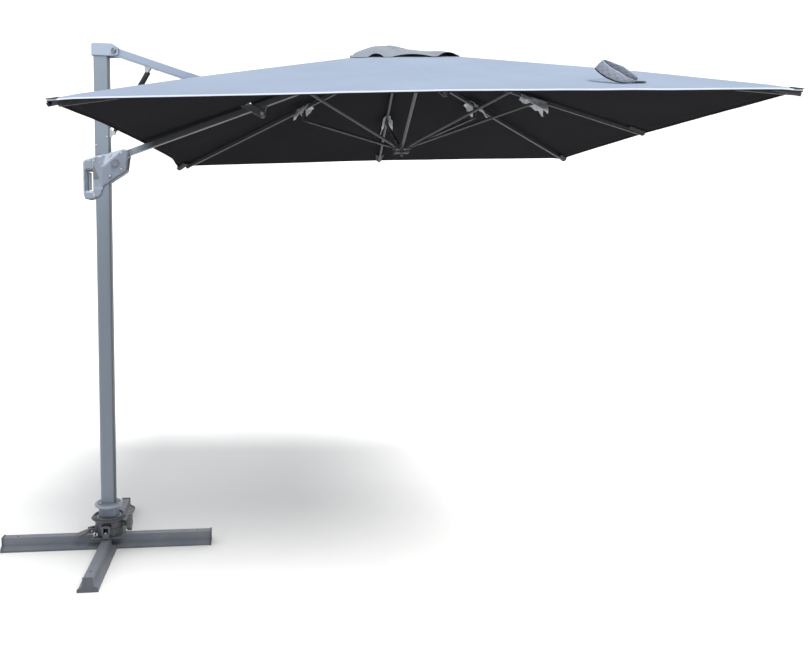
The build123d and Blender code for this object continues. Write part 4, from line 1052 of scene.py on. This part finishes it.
cap = bmesh.new()
bmesh.ops.create_grid(cap, x_segments=24, y_segments=24, size=0.5)
cap_thread = cap.loops.layers.uv.new("thread")
cap_seam = cap.loops.layers.uv.new("seam")
cap_plan = {}
for vert in cap.verts:
    x, y = vert.co.x * 0.150, vert.co.y * 0.150
    cap_plan[vert.index] = (x, y)
    edge = smooth_step(max(abs(x), abs(y)) / 0.075, 0.6, 1)
    vert.co = crown_frame @ Vector((x, y, flap_point(x, y) + 0.0022 - 0.0012 * edge))
for face in cap.faces:
    for loop in face.loops:
        x, y = cap_plan[loop.vert.index]
        loop[cap_thread].uv = (x, y)
        loop[cap_seam].uv = (0.5, 0.5)
cap_area = sum(face.calc_area() for face in cap.faces)
piece = set_down("vent_peak_patch", cap, [flap_top, canopy_under], "crown")
thicken(piece, CLOTH_THICKNESS, -1).material_offset = 1

# ---- Tie strap ----
# A wide double band sewn to the canopy near its edge, which wraps round the folded cloth.
# Loose, it springs up in a leaf-shaped loop, quilted, bound in paler tape, with a flat dark end and painted shade
# along its lower edge.
LOOP_MIDDLE = (0.6575, -1.065)
LOOP_LENGTH = 0.155
LOOP_DEPTH = 0.13
LOOP_START = radians(-50)
LOOP_SWEEP = radians(-302)
LOOP_LIFT = 0.041
BAND_LEAN = Vector((0.032, 0.020, 0.029))


def strap_finish(name, colour):
    """Quilted band: a stitched diamond grid, sunken seams and soft shine."""
    finish = Finish(name, Specular_IOR_Level=0.25)
    run, across = finish.parts(finish.node("UVMap", {"uv_map": "band"}))[:2]
    first = finish.maths("FRACT", (run + across) * 42.0)
    second = finish.maths("FRACT", (run - across) * 42.0)
    lines = finish.maths("MAXIMUM", (abs(first - 0.5) < 0.06) * 1.0, (abs(second - 0.5) < 0.06) * 1.0)
    puff = abs(first - 0.5) + abs(second - 0.5)
    cloud = finish.grain(30, 4, 0.7)
    plain = finish.blend(cloud, darker(colour, 0.8), darker(colour, 1.15))
    quilted = finish.blend(lines * 0.55, plain, darker(colour, 0.5))
    return finish.lay(Base_Color=quilted, Roughness=0.6 + cloud * 0.15,
                      Normal=finish.bump(puff * 0.8 + lines * -0.5, 0.002, 0.6)).material


def along_loop(place):
    """A pair of low and high edge points of the strap: a leaf-shaped turn that lifts in its middle."""
    turn = LOOP_START + LOOP_SWEEP * place
    x = LOOP_MIDDLE[0] + LOOP_LENGTH / 2 * cos(turn)
    y = LOOP_MIDDLE[1] + LOOP_DEPTH / 2 * sin(turn)
    lift = LOOP_LIFT * sin(pi * max(0, min(1, (place - 0.12) / 0.78))) ** 2
    low_edge = Vector((x, y, APEX - SLOPE * max(abs(x), abs(y)) + lift - 0.003))
    wide = min(1, 0.12 + 1.3 * sin(pi * place))
    return low_edge, low_edge + wide * Vector((BAND_LEAN.x, BAND_LEAN.y * (1 - 2 * place), BAND_LEAN.z))


band_cloth = strap_finish("strap_cloth", (0.20, 0.225, 0.285))
tape_cloth = strap_finish("strap_tape", (0.40, 0.45, 0.54))
shade_edge_and_tab_cloth = strap_finish("strap_shade_edge_and_tab", (0.022, 0.023, 0.026))
band = bmesh.new()
bmesh.ops.create_grid(band, x_segments=96, y_segments=12, size=0.5)
layer = band.loops.layers.uv.new("band")
plan = {}
for vert in band.verts:
    place, across = vert.co.x + 0.5, vert.co.y + 0.5
    low_edge, high_edge = along_loop(place)
    plan[vert.index] = (place * 0.33, across * 0.045, across)
    bulge = sin(pi * across) * 0.003
    vert.co = crown_frame @ (low_edge.lerp(high_edge, across) + Vector((0, -bulge, bulge)))
for face in band.faces:
    for loop in face.loops:
        loop[layer].uv = plan[loop.vert.index][:2]
    across = sum(plan[vert.index][2] for vert in face.verts) / len(face.verts)
    # The band's lower edge is near-black painted shade; the upper edge is the paler binding tape, and the end tab
    # is dark.
    face.material_index = 1 if across > 0.88 else (2 if across < 0.1 else 0)
tab = bmesh.ops.create_grid(band, x_segments=8, y_segments=3, size=0.5)["verts"]
for vert in tab:
    x, y = 0.722 + vert.co.x * 0.045, -1.112 + vert.co.y * 0.022
    vert.co = crown_frame @ (on_canopy(x, y) + Vector((0, 0, 0.0045)))
for face in {face for vert in tab for face in vert.link_faces}:
    face.material_index = 2
piece = set_down("tie_strap_loop", band, [band_cloth, tape_cloth, shade_edge_and_tab_cloth], "rib_near_right")
thicken(piece, 0.003, 0)
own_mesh(piece)
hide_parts("tie_strap")
